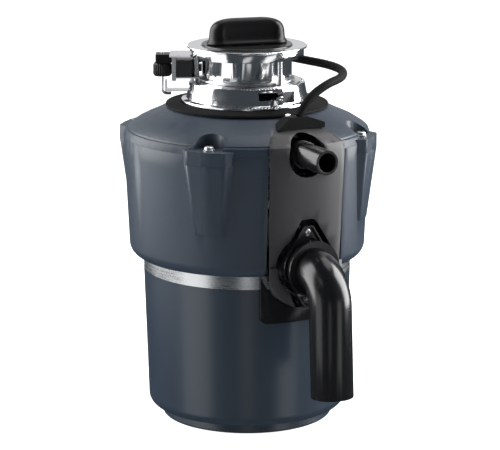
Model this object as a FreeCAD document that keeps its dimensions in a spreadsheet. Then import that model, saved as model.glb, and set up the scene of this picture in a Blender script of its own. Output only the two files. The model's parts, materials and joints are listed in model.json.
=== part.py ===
import FreeCAD, Part
import math
import os
import Sketcher

# Kitchen garbage disposal with a batch-feed cover, in millimetres.
# +Z is up, the origin is the centre of the underside and both outlets face -Y.
# A bearing is an angle about +Z, counted from -Y towards +X.

SIZES = {
    # shells
    "seam_radius": (113.5, "jacket radius at the seam with the dome"),
    "seam_height": (264.2, "height of that seam"),
    "jacket_foot_radius": (108.4, "jacket radius at its foot"),
    "jacket_foot": (152.6, "height of the jacket's lower edge"),
    "jacket_wall": (2.6, "wall of jacket and dome"),
    "jacket_round": (12, "rounding at the jacket's foot"),
    "can_foot_radius": (91.8, "lower can radius at its foot"),
    "can_radius": (96, "lower can radius at its shoulder"),
    "can_wall": (1.5, "sheet of the lower can"),
    "can_round": (9, "rounding at the can's foot"),
    "band_bottom": (140, "lower edge of the trim band"),
    "band_height": (12.2, "height of the trim band"),
    "band_sheet": (1.6, "sheet of the trim band"),
    "can_top": (168, "top of the can inside the jacket"),
    "base_radius": (79.4, "base cap radius"),
    "base_height": (9.5, "base cap height"),
    "base_recess": (3, "how far the base plate stands off the floor"),
    "base_plate": (2.5, "base plate thickness"),
    "base_foot": (8, "width of the standing rim"),
    "base_rim_draft": (0.9, "how far the base cap's wall leans in"),
    "wrench_hole_radius": (6, "hole for the release wrench"),
    "wrench_collar": (4, "wall of the collar round the wrench hole"),
    "fit_gap": (0.3, "gap between shells that only meet"),
    "slip_gap": (0.1, "gap round screws and bolts"),
    # dome
    "dome_rim_height": (7, "height of the dome's upright rim"),
    "dome_rim_draft": (2.4, "how far the rim leans in"),
    "rim_groove": (1.8, "groove between the dome's rim and its slope"),
    "rim_groove_step": (1.4, "height the slope rises out of that groove"),
    "dome_shoulder_radius": (99, "radius half way up the slope"),
    "dome_shoulder": (279, "height there"),
    "dome_crease_radius": (85.2, "radius of the crease"),
    "dome_crease": (285, "height of the crease"),
    "dome_hole_radius": (72.5, "hole for the cushion mount"),
    "dome_top": (291.6, "height of the dome's inner edge"),
    # ears and their bolts
    "ear_bearing": (-46.4, "bearing of the first ear"),
    "ear_reach": (120.4, "radius of an ear's face at the top"),
    "ear_foot_reach": (113.2, "radius of an ear's face at the bottom"),
    "ear_crown": (1.6, "how far the middle of that face bulges"),
    "ear_crown_round": (42, "rounding of the bulge"),
    "ear_width": (53, "ear width at the top"),
    "ear_face": (36, "width of its flat face at the top"),
    "ear_foot_width": (35, "ear width at the bottom"),
    "ear_foot_face": (24, "width of its flat face at the bottom"),
    "ear_foot": (192, "height of the ear's bottom"),
    "ear_top": (256, "height where the dome's pad meets the ear"),
    "ear_round": (3.5, "rounding of an ear's long edges"),
    "pad_top": (268.4, "height of the pad under the bolt head"),
    "scoop_radius": (14, "scoop in the dome over each pad"),
    "bolt_circle": (108.5, "radius of the bolt circle"),
    "bolt_radius": (2.5, "housing bolt"),
    "bolt_head_radius": (5.4, "its washer head"),
    "bolt_head_height": (3.8, "head height"),
    "bolt_length": (32, "shank length"),
    "boss_wall": (3.5, "wall of the bolt boss"),
    # outlets
    "window_left": (-36.3, "left edge of the opening behind the trim panel"),
    "window_right": (41, "right edge of that opening"),
    "roof_bend": (106, "distance from the axis where the window's sides start to slant in"),
    "roof_slant": (17, "how far they slant in"),
    "roof_round": (9, "rounding of that corner"),
    "panel_proud": (1.2, "how far the trim panel stands proud"),
    "panel_wall": (2.6, "trim panel wall"),
    "panel_inner_radius": (87.4, "radius where the panel's roof ends"),
    "hood_radius": (39.5, "hood round the outlet"),
    "hood_reach": (112.6, "radius of the hood's face"),
    "hub_opening_radius": (28.5, "opening in the hood"),
    "peak_height": (42.4, "peak of that opening above the outlet"),
    "peak_round": (6, "rounding at the peak"),
    "peak_flank": (22, "where the peak leaves the round opening"),
    "nozzle_height": (262.4, "height of the dishwasher inlet"),
    "nozzle_opening_radius": (19, "hole in the panel round the inlet"),
    "nozzle_radius": (11.1, "outside of the inlet, for a 7/8 inch hose"),
    "nozzle_bore": (8.5, "inside of the inlet"),
    "nozzle_reach": (146, "how far the inlet stands out from the axis"),
    "knockout_sheet": (1.6, "knock-out plug that closes the inlet"),
    "plug_lip": (0.7, "how far its seat is wider than the bore"),
    "nozzle_exposed": (38, "length of the inlet that a hose slides over"),
    "nozzle_step": (0.8, "how much thicker the inlet's root is"),
    "outlet_height": (163, "height of the outlet"),
    "outlet_bore": (17.5, "bore of the outlet boss"),
    "outlet_boss_radius": (23, "outside of the outlet boss"),
    "outlet_face": (104, "distance of the boss face from the axis"),
    "drain_bolt_spread": (31.2, "drain bolts above and below the outlet axis"),
    "drain_bolt_radius": (2.5, "drain bolt"),
    "drain_flange_sheet": (2.4, "drain flange sheet"),
    "drain_flange_skirt": (5.5, "forward skirt of the drain flange"),
    "drain_gasket": (2, "drain gasket thickness"),
    "drain_gasket_inset": (1.6, "how far the gasket stays inside the boss"),
    "boss_inset": (1.4, "how far the boss stays inside its nominal outline"),
    "flange_lap": (1.5, "how far the drain flange overlaps the boss"),
    "flange_end": (3, "flange round each bolt"),
    "plate_end": (2.4, "boss plate round each bolt"),
    "pipe_radius": (19.05, "outside of the discharge pipe, 1-1/2 inch"),
    "pipe_wall": (2, "wall of the discharge pipe"),
    "pipe_lip_radius": (24, "lip of the elbow under the drain flange"),
    "pipe_lip": (2.2, "lip thickness"),
    "socket_radius": (21.6, "elbow between lip and rim"),
    "rim_radius": (25.2, "rim at the start of the bend"),
    "rim_face": (125.5, "front of that rim"),
    "rim_width": (4, "width of that rim"),
    "bend_corner": (151.2, "where the two pipe axes meet, from the axis"),
    "bend_radius": (30, "centreline radius of the bend"),
    "pipe_end": (54, "height of the pipe's end"),
    "pipe_end_reach": (157.6, "distance of the pipe's end from the axis"),
    "apron_bottom": (109, "lower edge of the apron"),
    "apron_round": (6, "rounding of the apron's lower corners"),
    "apron_wall": (2.2, "apron wall"),
    # sink mount
    "sleeve_radius": (41, "outside of the flange sleeve"),
    "sleeve_wall": (1.6, "wall of the sleeve"),
    "sleeve_bottom": (305, "lower end of the sleeve"),
    "rim_plate_radius": (54.7, "flange rim"),
    "rim_plate_top": (346.6, "top of the flange rim"),
    "rim_plate": (1.6, "flange rim sheet"),
    "disc_recess": (0.8, "recess that seats the cover disc"),
    "sink_gasket": (1.4, "gasket under the rim"),
    "skirt_radius": (52, "outside of the backup flange"),
    "skirt_bottom": (337, "lower edge of its skirt"),
    "backup_sheet": (1.6, "backup flange sheet"),
    "shelf_reach": (70.5, "reach of the backup flange's shelf"),
    "shelf_width": (30, "width of that shelf"),
    "ring_radius": (50.3, "mounting ring radius"),
    "ring_top": (314.4, "top of the mounting ring"),
    "ring_bottom": (309.2, "underside of the mounting ring"),
    "screw_circle": (47, "radius of the mounting screw circle"),
    "screw_bearing": (10.5, "bearing of the first mounting screw"),
    "screw_radius": (2.3, "mounting screw"),
    "screw_head_radius": (3.1, "its head"),
    "screw_head": (2.6, "its head height"),
    "snap_wire": (1.4, "radius of the snap ring's wire"),
    "lock_radius": (60, "lock ring radius at its foot"),
    "lock_top_radius": (52.6, "lock ring radius at its top"),
    "lock_bottom": (293.9, "foot of the lock ring"),
    "lock_rim": (3.8, "height of its bright foot rim"),
    "lock_top": (313.6, "top of the lock ring"),
    "lock_wall": (1.8, "lock ring sheet"),
    "lock_shoulder": (3, "width of the step above the foot rim"),
    "window_back": (-16, "high end of a window in the lock ring"),
    "window_step": (-4, "where its lower edge starts to rise"),
    "window_front": (12, "low end of that window"),
    "window_drop": (3.4, "lower edge below the window's middle"),
    "window_rise": (3.8, "upper edge above the window's middle"),
    "lug_reach": (75, "reach of the turning lugs"),
    "lug_drop": (9.6, "how far a lug's arm sits below the ring's top"),
    "lug_width": (11, "width of a turning lug"),
    "cushion_radius": (74.6, "rubber cushion radius"),
    "cushion_top": (293.7, "top of the rubber cushion under the lock ring"),
    "cushion_lip": (1.3, "lip that lies on the dome"),
    "cushion_step": (1.4, "height of the bead round the lock ring"),
    "bead_gap": (1.2, "distance of that bead from the lock ring"),
    # cover and its switch
    "plug_radius": (38.3, "cover plug radius"),
    "plug_bottom": (324, "underside of the plug"),
    "plug_disc_radius": (41.5, "cover disc radius"),
    "plug_disc": (1.9, "cover disc thickness"),
    "plug_chamfer": (3, "chamfer at the plug's foot"),
    "seal_rise": (8, "seal groove above the plug's underside"),
    "grip_half_length": (35.6, "half length of the grip bar"),
    "grip_flare": (2.5, "how far its foot flares out"),
    "grip_foot": (3, "height of that flare"),
    "grip_crown": (6, "height of the crowned top"),
    "grip_top_inset": (6, "how much shorter each end of the top is"),
    "grip_top_slim": (5, "how much slimmer each side of the top is"),
    "grip_flank_slim": (3, "how much slimmer each side is under the crown"),
    "grip_end_lean": (0.8, "how far each end leans in below the crown"),
    "grip_end_flat": (1.2, "what its end rounding leaves flat"),
    "grip_half_width": (10.5, "half width of the grip bar at the foot"),
    "grip_top": (371.1, "top of the grip bar"),
    "grip_bearing": (-11.5, "how far the grip bar is turned from +X"),
    "seal_proud": (0.75, "how far the cover seal stands out"),
    "seal_depth": (2.4, "depth of the seal's groove"),
    "seal_height": (5, "cover seal height"),
    "magnet_radius": (5, "cover magnet"),
    "magnet_pocket": (5, "depth of a magnet's pocket"),
    "magnet_play": (0.4, "play of a magnet above the plug's underside"),
    "magnet_height": (4.4, "magnet height"),
    "switch_bearing": (-118.5, "bearing of the cover switch"),
    "switch_inner": (44, "near side of the switch box"),
    "switch_outer": (64.6, "far side of the switch box"),
    "switch_bottom": (318.4, "underside of the switch box"),
    "switch_height": (15.2, "switch box height"),
    "switch_width": (24, "switch box width"),
    "bracket_sheet": (1.4, "bracket sheet"),
    "plate_outer": (68.4, "outer face of the bracket's upright"),
    "plate_thickness": (3.6, "upright of the bracket with its fold"),
    "plate_bottom": (314.8, "lower edge of the upright"),
    "nut_radius": (8.6, "thumb nut"),
    "nut_bottom": (318, "underside of the thumb nut"),
    "nut_height": (12.2, "thumb nut height"),
    "hook_reach": (78.6, "distance of the hook bolt from the axis"),
    "hook_radius": (1.3, "hook bolt rod"),
    "hook_bottom": (301.5, "centre of the hook's return"),
    "block_height": (8, "guide block height"),
    "block_half": (8, "half width of the guide block"),
    "block_front": (6, "guide block in front of the rod"),
    "tongue_half": (5, "half width of the block's tongue"),
    "cable_radius": (3.9, "switch cable"),
    "boot_width": (44, "cable boot width"),
    "boot_depth": (12.5, "cable boot front to back"),
    "boot_height": (11, "cable boot height"),
    "boot_reach": (6, "how far the boot runs on to the right"),
    "boot_screw_inset": (3, "boot screw from the left end of its top"),
    "boot_screw_length": (4.8, "boot screw shank"),
    "boot_screw_head": (1.6, "boot screw head height"),
    # grind chamber
    "throat_radius": (40, "throat of the chamber"),
    "chamber_radius": (66.5, "inside of the grind chamber"),
    "chamber_wall": (3, "chamber wall"),
    "chamber_bottom": (203, "foot of the chamber"),
    "chamber_shoulder": (274, "where the chamber's shoulder starts"),
    "chamber_neck": (284, "foot of the chamber's neck"),
    "chamber_flange_radius": (78, "joint flange of chamber and end bell"),
    "chamber_flange": (4, "joint flange thickness"),
    "shredder_height": (22, "shredder ring height"),
    "shredder_wall": (2.4, "shredder ring wall"),
    "shredder_slots": (24, "slots round the shredder ring"),
    "turntable_radius": (62, "turntable radius"),
    "turntable_height": (202, "underside of the turntable"),
    "turntable_sheet": (3, "turntable sheet"),
    "turntable_boss": (4, "hub under the turntable"),
    "turntable_rim": (8, "drain holes in from the turntable's edge"),
    "turntable_hole": (2.5, "drain hole in the turntable"),
    "impeller_pivot": (37, "impeller pivot from the axis"),
    "impeller_length": (21.5, "impeller's long end"),
    "impeller_tail": (7, "impeller's short end"),
    "impeller_width": (12, "impeller width"),
    "impeller_height": (9, "impeller height"),
    "impeller_pin_radius": (3, "impeller pin"),
    "run_gap": (0.05, "running clearance"),
    "hub_radius": (14, "turntable hub"),
    "hub_height": (8, "turntable hub height"),
    "nut_hub_radius": (10, "hub nut"),
    "nut_hub_height": (7, "hub nut height"),
    # motor
    "shaft_radius": (7, "rotor shaft"),
    "shaft_bottom": (14, "lower end of the shaft"),
    "wrench_socket_radius": (3.6, "socket for the release wrench"),
    "wrench_socket_depth": (12, "its depth"),
    "bell_bottom": (140.4, "underside of the upper end bell"),
    "bell_floor": (144.6, "floor of the water chamber"),
    "bell_wall": (3.2, "end bell wall"),
    "bell_hub_radius": (19, "bearing housing of the upper end bell"),
    "bearing_radius": (15, "bearing outer radius"),
    "bearing_height": (9, "bearing height"),
    "seal_radius": (15, "shaft seal outer radius"),
    "shaft_seal_height": (7, "shaft seal height"),
    "bell_hub_top": (176, "top of the bearing housing"),
    "frame_radius": (71, "motor frame radius"),
    "frame_wall": (2, "motor frame wall"),
    "frame_bottom": (56, "lower edge of the motor frame"),
    "stator_bore": (38, "stator bore"),
    "stator_height": (46, "stator stack height"),
    "stator_bottom": (80, "underside of the stator stack"),
    "air_gap": (0.6, "air gap between rotor and stator"),
    "coil_inner": (42, "inside of a coil head"),
    "coil_outer": (60, "outside of a coil head"),
    "coil_height": (11.5, "height of a coil head"),
    "end_ring_height": (5, "rotor end ring"),
    "end_ring_outer": (35, "its radius"),
    "end_ring_inner": (22, "its bore"),
    "lower_bell_bottom": (48, "underside of the lower end bell"),
    "lower_bell_plate": (7.7, "its plate"),
    "lower_bell_hub": (19, "its bearing housing radius"),
    "through_circle": (74.6, "circle of the through bolts"),
    "through_radius": (2, "through bolt"),
    "post_circle": (60, "circle of the base posts"),
    "post_radius": (5, "base post"),
    "base_screw_radius": (1.9, "base screw"),
    "base_screw_head": (3.8, "its head radius"),
    "base_screw_head_height": (2.2, "its head height"),
    "base_screw_length": (16, "its shank"),
    "button_radius": (4, "reset button"),
    "button_stem": (2.4, "reset button stem"),
    "button_x": (24, "reset button place across"),
    "button_y": (-28, "reset button place front to back"),
    "button_travel": (2.5, "reset button travel"),
    "capacitor_radius": (13, "capacitor"),
    "capacitor_length": (62, "its length"),
    "capacitor_back": (54, "its far end, behind the axis"),
    "capacitor_x": (32, "its distance to the left of the axis"),
    "protector_half_length": (12, "half length of the overload protector"),
    "protector_half_width": (9, "its half width"),
    "protector_height": (16, "its height"),
    "protector_foot": (2, "radius of each of its feet"),
    "protector_foot_spread": (9.5, "its feet to each side of the button"),
    "spring_inner": (0.4, "gap between button stem and spring"),
    "spring_wire": (1, "thickness of the spring"),
    "liner": (7, "thickness of the sound insulation"),
    "liner_gap": (2, "clearance round the insulation"),
}

doc = FreeCAD.newDocument("garbage_disposal")
sheet = doc.addObject("Spreadsheet::Sheet", "sizes")
nodes = {}


class Size:
    """A sheet formula together with its present value."""

    def __init__(self, text, value):
        self.text = text
        self.value = float(value)

    def join(self, other, sign, value):
        return Size(f"({self.text} {sign} {other.text})", value)

    def __add__(self, other):
        other = as_size(other)
        return self.join(other, "+", self.value + other.value)

    def __sub__(self, other):
        other = as_size(other)
        return self.join(other, "-", self.value - other.value)

    def __mul__(self, other):
        other = as_size(other)
        return self.join(other, "*", self.value * other.value)

    def __truediv__(self, other):
        other = as_size(other)
        return self.join(other, "/", self.value / other.value)

    def __radd__(self, other):
        return as_size(other) + self

    def __rsub__(self, other):
        return as_size(other) - self

    def __rmul__(self, other):
        return as_size(other) * self

    def __neg__(self):
        return Size(f"(-1 * {self.text})", -self.value)


def as_size(number):
    return number if isinstance(number, Size) else Size(repr(float(number)), number)


class Sheet:
    """Reads each sheet cell by its alias."""

    def __getattr__(self, alias):
        return Size(f"sizes.{alias}", SIZES[alias][0])


def cosine(angle):
    return Size(f"cos({angle.text} * 1 deg)", math.cos(math.radians(angle.value)))


def sine(angle):
    return Size(f"sin({angle.text} * 1 deg)", math.sin(math.radians(angle.value)))


for row, (alias, (value, note)) in enumerate(SIZES.items(), start=1):
    sheet.set(f"A{row}", note)
    sheet.set(f"B{row}", str(value))
    sheet.setAlias(f"B{row}", alias)
doc.recompute()
d = Sheet()

# ---------------------------------------------------------------- modelling helpers


def node(label, thing):
    """Name a finished sub-part; its label is its file name."""
    thing.Label = label
    nodes[label] = thing
    return thing


def bind(thing, path, size):
    size = as_size(size)
    thing.setExpression(path, size.text)


def new_body(name):
    return doc.addObject("PartDesign::Body", name)


def origin_part(body, role):
    return next(part for part in body.Origin.OriginFeatures if part.Role == role)


def new_sketch(body, plane, offset=0, bearing=0):
    """A sketch on an origin plane: XZ_Plane offsets towards -Y, XY_Plane towards +Z."""
    sketch = body.newObject("Sketcher::SketchObject", body.Name + "_sketch")
    sketch.AttachmentSupport = [(origin_part(body, plane), "")]
    sketch.MapMode = "FlatFace"
    bind(sketch, "AttachmentOffset.Base.z", offset)
    bind(sketch, "AttachmentOffset.Rotation.Angle", bearing)
    return sketch


def place_point(sketch, index, end, across, up):
    """Fix one point of the sketch to two sheet formulas."""
    for kind, size in (("DistanceX", as_size(across)), ("DistanceY", as_size(up))):
        number = sketch.addConstraint(Sketcher.Constraint(kind, index, end, size.value))
        name = f"p{number}"
        sketch.renameConstraint(number, name)
        bind(sketch, f"Constraints.{name}", size)


def set_radius(sketch, index, radius):
    radius = as_size(radius)
    number = sketch.addConstraint(Sketcher.Constraint("Radius", index, radius.value))
    name = f"r{number}"
    sketch.renameConstraint(number, name)
    bind(sketch, f"Constraints.{name}", radius)


def flat(across, up):
    return FreeCAD.Vector(as_size(across).value, as_size(up).value, 0)


def corner_arc(before, corner, after, radius):
    """The arc that rounds a corner: where it starts, its middle, its end and its centre."""
    into = (before - corner).normalize()
    out = (after - corner).normalize()
    half = into.getAngle(out) / 2
    start = corner + into * (radius / math.tan(half))
    end = corner + out * (radius / math.tan(half))
    centre = corner + (into + out).normalize() * (radius / math.sin(half))
    middle = centre + (corner - centre).normalize() * radius
    return start, middle, end, centre


def sketch_arc(sketch, start, end, centre):
    """Add an arc; a sketch keeps arcs anticlockwise, so say which of its ends comes first."""
    spread = (start - centre).cross(end - centre).z
    low, high = (start, end) if spread > 0 else (end, start)
    angles = [math.atan2(point.y - centre.y, point.x - centre.x) for point in (low, high)]
    if angles[1] < angles[0]:
        angles[1] += 2 * math.pi
    ring = Part.Circle(centre, FreeCAD.Vector(0, 0, 1), (start - centre).Length)
    index = sketch.addGeometry(Part.ArcOfCircle(ring, *angles))
    return index, (1, 2) if spread > 0 else (2, 1)


def outline(sketch, points):
    """A closed outline; a third value in a point rounds that corner."""
    corners = [flat(*point[:2]) for point in points]
    count = len(points)
    enter, leave, arcs = {}, {}, {}
    for k, point in enumerate(points):
        enter[k] = leave[k] = corners[k]
        if len(point) == 3:
            after = corners[(k + 1) % count]
            radius = as_size(point[2]).value
            enter[k], _, leave[k], centre = corner_arc(corners[k - 1], corners[k], after, radius)
            arcs[k] = sketch_arc(sketch, enter[k], leave[k], centre)
    lines = [sketch.addGeometry(Part.LineSegment(leave[k], enter[(k + 1) % count])) for k in range(count)]
    for k, point in enumerate(points):
        if k not in arcs:
            sketch.addConstraint(Sketcher.Constraint("Coincident", lines[k - 1], 2, lines[k], 1))
            place_point(sketch, lines[k], 1, *point)
            continue
        arc, (first, last) = arcs[k]
        sketch.addConstraint(Sketcher.Constraint("Tangent", lines[k - 1], 2, arc, first))
        sketch.addConstraint(Sketcher.Constraint("Tangent", arc, last, lines[k], 1))
        set_radius(sketch, arc, point[2])
        spot = sketch.addGeometry(Part.Point(corners[k]), True)
        place_point(sketch, spot, 1, *point[:2])
        sketch.addConstraint(Sketcher.Constraint("PointOnObject", spot, 1, lines[k - 1]))
        sketch.addConstraint(Sketcher.Constraint("PointOnObject", spot, 1, lines[k]))


def circle(sketch, across, up, radius):
    index = sketch.addGeometry(Part.Circle(flat(across, up), FreeCAD.Vector(0, 0, 1), as_size(radius).value))
    place_point(sketch, index, 3, across, up)
    set_radius(sketch, index, radius)


def feature(body, kind, profile):
    made = body.newObject(f"PartDesign::{kind}", f"{body.Name}_{kind.lower()}")
    made.Profile = profile
    return made


def settle(body, made, removes):
    """Recompute, and stop if a feature failed or a cut took nothing away."""
    before = made.BaseFeature.Shape.Volume if made.BaseFeature else 0
    doc.recompute()
    after = made.Shape.Volume
    if removes and after > before - 1e-3:
        raise RuntimeError(f"{made.Name} cuts nothing")
    body.Tip = made
    return made


def turned(body, points, angle=360, removes=False, plane="XZ_Plane"):
    """Turn an outline of (radius, height) points about the axis."""
    sketch = new_sketch(body, plane)
    outline(sketch, points)
    made = feature(body, "Groove" if removes else "Revolution", sketch)
    made.ReferenceAxis = (sketch, ["V_Axis"])
    bind(made, "Angle", angle)
    made.Midplane = True
    return settle(body, made, removes)


def raised(body, sketch, length, reverse=False):
    made = feature(body, "Pad", sketch)
    bind(made, "Length", length)
    made.Reversed = reverse
    return settle(body, made, False)


def sunk(body, sketch, length, reverse=False):
    """A pocket; it cuts against the sketch's normal unless reversed."""
    made = feature(body, "Pocket", sketch)
    bind(made, "Length", length)
    made.Reversed = reverse
    return settle(body, made, True)


def repeated(body, made, count):
    """Repeat a feature evenly round the axis."""
    pattern = body.newObject("PartDesign::PolarPattern", f"{body.Name}_pattern")
    pattern.Originals = [made]
    pattern.Axis = (origin_part(body, "Z_Axis"), [""])
    pattern.Angle = 360
    bind(pattern, "Occurrences", count)
    doc.recompute()
    body.Tip = pattern
    return pattern


def ring_points(count, radius, start):
    """Evenly spaced points round the axis, as sheet formulas."""
    for k in range(count):
        bearing = start + 360 / count * k
        yield radius * sine(as_size(bearing)), -(radius * cosine(as_size(bearing)))


def turned_body(label, points, angle=360):
    body = new_body(label)
    turned(body, points, angle)
    return node(label, body)


def posts(body, count, circle_radius, start, radius, bottom, length, removes=False):
    """Round posts or holes on a circle, from a height upwards."""
    sketch = new_sketch(body, "XY_Plane", bottom)
    for across, up in ring_points(count, circle_radius, as_size(start)):
        circle(sketch, across, up, radius)
    return sunk(body, sketch, length, True) if removes else raised(body, sketch, length)


def solid_box(name, low, high, bearing=0):
    """A box between two corners, turned about the axis to a bearing."""
    low = [as_size(size) for size in low]
    high = [as_size(size) for size in high]
    body = new_body(name)
    sketch = new_sketch(body, "XY_Plane", low[2], bearing)
    outline(sketch, [(low[0], low[1]), (high[0], low[1]), (high[0], high[1]), (low[0], high[1])])
    raised(body, sketch, high[2] - low[2])
    return body


def solid_rod(name, radius, start, length, height, across=0):
    """A rod along -Y at a height, starting at a distance from the axis."""
    body = new_body(name)
    sketch = new_sketch(body, "XZ_Plane", start)
    circle(sketch, across, height, radius)
    raised(body, sketch, length)
    return body


def solid_post(name, radius, bottom, length, across, up):
    body = new_body(name)
    sketch = new_sketch(body, "XY_Plane", bottom)
    circle(sketch, across, up, radius)
    raised(body, sketch, length)
    return body


def combined(name, kind, parts):
    made = doc.addObject(f"Part::{kind}", name)
    made.Shapes = parts
    doc.recompute()
    return made


def fused(name, parts):
    return combined(name, "MultiFuse", parts)


def shared(name, parts):
    return combined(name, "MultiCommon", parts)


def without(name, base, tools):
    """Cut tools from a base, and stop if any volume stays that should go."""
    made = doc.addObject("Part::Cut", name)
    made.Base = base
    made.Tool = tools[0] if len(tools) == 1 else fused(name + "_tools", tools)
    doc.recompute()
    if made.Shape.Volume > base.Shape.Volume - 1e-3:
        raise RuntimeError(f"{name} cuts nothing")
    return made

# ---------------------------------------------------------------- outer shells

ear_count = 4


def jacket_radius(height):
    """Radius of the jacket's draft at a height."""
    rise = (as_size(height) - d.jacket_foot) / (d.seam_height - d.jacket_foot)
    return d.jacket_foot_radius + (d.seam_radius - d.jacket_foot_radius) * rise


def make_base_cap():
    body = new_body("base_cap")
    top = d.base_recess + d.base_plate
    turned(body, [
        (d.wrench_hole_radius, 0), (d.wrench_hole_radius + d.wrench_collar, 0),
        (d.wrench_hole_radius + d.wrench_collar, d.base_recess),
        (d.base_radius - d.base_foot, d.base_recess), (d.base_radius - d.base_foot, 0),
        (d.base_radius, 0, 2), (d.base_radius - d.base_rim_draft, d.base_height),
        (d.base_radius - d.base_foot / 2, d.base_height), (d.base_radius - d.base_foot / 2, top),
        (d.wrench_hole_radius, top)])
    posts(body, 3, d.post_circle, 0, d.base_screw_radius + d.slip_gap, 0, top, removes=True)
    sketch = new_sketch(body, "XY_Plane")
    circle(sketch, d.button_x, d.button_y, d.button_radius + d.fit_gap)
    sunk(body, sketch, top, True)
    node("base_cap", body)


def make_lower_can():
    can = new_body("lower_can_shell")
    neck = d.can_radius - d.band_sheet - d.slip_gap
    lip = d.base_radius - d.base_foot / 2
    turned(can, [
        (lip, d.base_height), (d.can_foot_radius, d.base_height, d.can_round),
        (d.can_radius, d.band_bottom), (neck, d.band_bottom), (neck, d.can_top),
        (neck - d.can_wall, d.can_top), (neck - d.can_wall, d.band_bottom - d.can_wall),
        (d.can_radius - d.can_wall, d.band_bottom - d.can_wall),
        (d.can_foot_radius - d.can_wall, d.base_height + d.can_wall, d.can_round - d.can_wall),
        (lip, d.base_height + d.can_wall)])
    mouth = solid_rod("can_mouth", d.hub_opening_radius, d.coil_outer, d.can_radius, d.outlet_height)
    node("lower_can", without("lower_can", can, [mouth]))
    ring = new_body("trim_band_ring")
    turned(ring, [
        (neck, d.band_bottom + d.slip_gap), (d.can_radius - d.slip_gap, d.band_bottom + d.slip_gap),
        (d.can_radius - d.slip_gap, d.band_bottom + d.band_height),
        (neck, d.band_bottom + d.band_height)])
    mouth = solid_rod("band_mouth", d.hub_opening_radius, d.coil_outer, d.can_radius, d.outlet_height)
    node("trim_band", without("trim_band", ring, [mouth]))


def ear_outline(sketch, width, face, reach, root):
    outline(sketch, [
        (-(width / 2), -root), (-(face / 2), -(reach - d.ear_crown), d.ear_round),
        (0, -reach, d.ear_crown_round), (face / 2, -(reach - d.ear_crown), d.ear_round), (width / 2, -root)])


def ears(body, root):
    """Four tapering ears on the jacket, lofted between two outlines."""
    low = new_sketch(body, "XY_Plane", d.ear_foot, d.ear_bearing)
    ear_outline(low, d.ear_foot_width, d.ear_foot_face, d.ear_foot_reach, root)
    high = new_sketch(body, "XY_Plane", d.ear_top, d.ear_bearing)
    ear_outline(high, d.ear_width, d.ear_face, d.ear_reach, root)
    loft = feature(body, "AdditiveLoft", low)
    loft.Sections = [high]
    loft.Ruled = True
    settle(body, loft, False)
    repeated(body, loft, ear_count)


def make_jacket():
    body = new_body("jacket_shell")
    turned(body, [
        (0, d.jacket_foot), (d.jacket_foot_radius, d.jacket_foot, d.jacket_round),
        (d.seam_radius, d.seam_height), (0, d.seam_height)])
    ears(body, d.jacket_foot_radius - d.ear_round)
    lip = d.can_radius - d.band_sheet + d.fit_gap
    wall = d.jacket_wall
    turned(body, [
        (0, d.jacket_foot - wall), (lip, d.jacket_foot - wall), (lip, d.jacket_foot + wall),
        (d.jacket_foot_radius - wall, d.jacket_foot + wall, d.jacket_round - wall),
        (d.seam_radius - wall, d.seam_height + wall), (0, d.seam_height + wall)], removes=True)
    boss_foot = d.seam_height - d.bolt_length - d.boss_wall
    posts(body, ear_count, d.bolt_circle, d.ear_bearing, d.bolt_radius + d.boss_wall,
          boss_foot, d.ear_top - boss_foot)
    posts(body, ear_count, d.bolt_circle, d.ear_bearing, d.bolt_radius + d.slip_gap,
          d.seam_height - d.bolt_length, d.bolt_length + d.slip_gap, removes=True)
    window = solid_box("jacket_window", (d.window_left, -2 * d.seam_radius, d.jacket_foot - wall),
                       (d.window_right, -(d.seam_radius / 2), d.seam_height + wall))
    node("jacket", without("jacket", body, [window]))


def window_outline(name, gap, back):
    """Solid over the window: straight sides, then corners that slant in over the dome's rim."""
    body = new_body(name)
    sketch = new_sketch(body, "XY_Plane", 0)
    left = d.window_left + gap
    right = d.window_right - gap
    outline(sketch, [
        (left, -2 * d.seam_radius), (left, -d.roof_bend, d.roof_round),
        (left + d.roof_slant, -back, d.roof_round / 2), (right - d.roof_slant, -back, d.roof_round / 2),
        (right, -d.roof_bend, d.roof_round), (right, -2 * d.seam_radius)])
    raised(body, sketch, 2 * d.seam_height)
    return body


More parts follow.
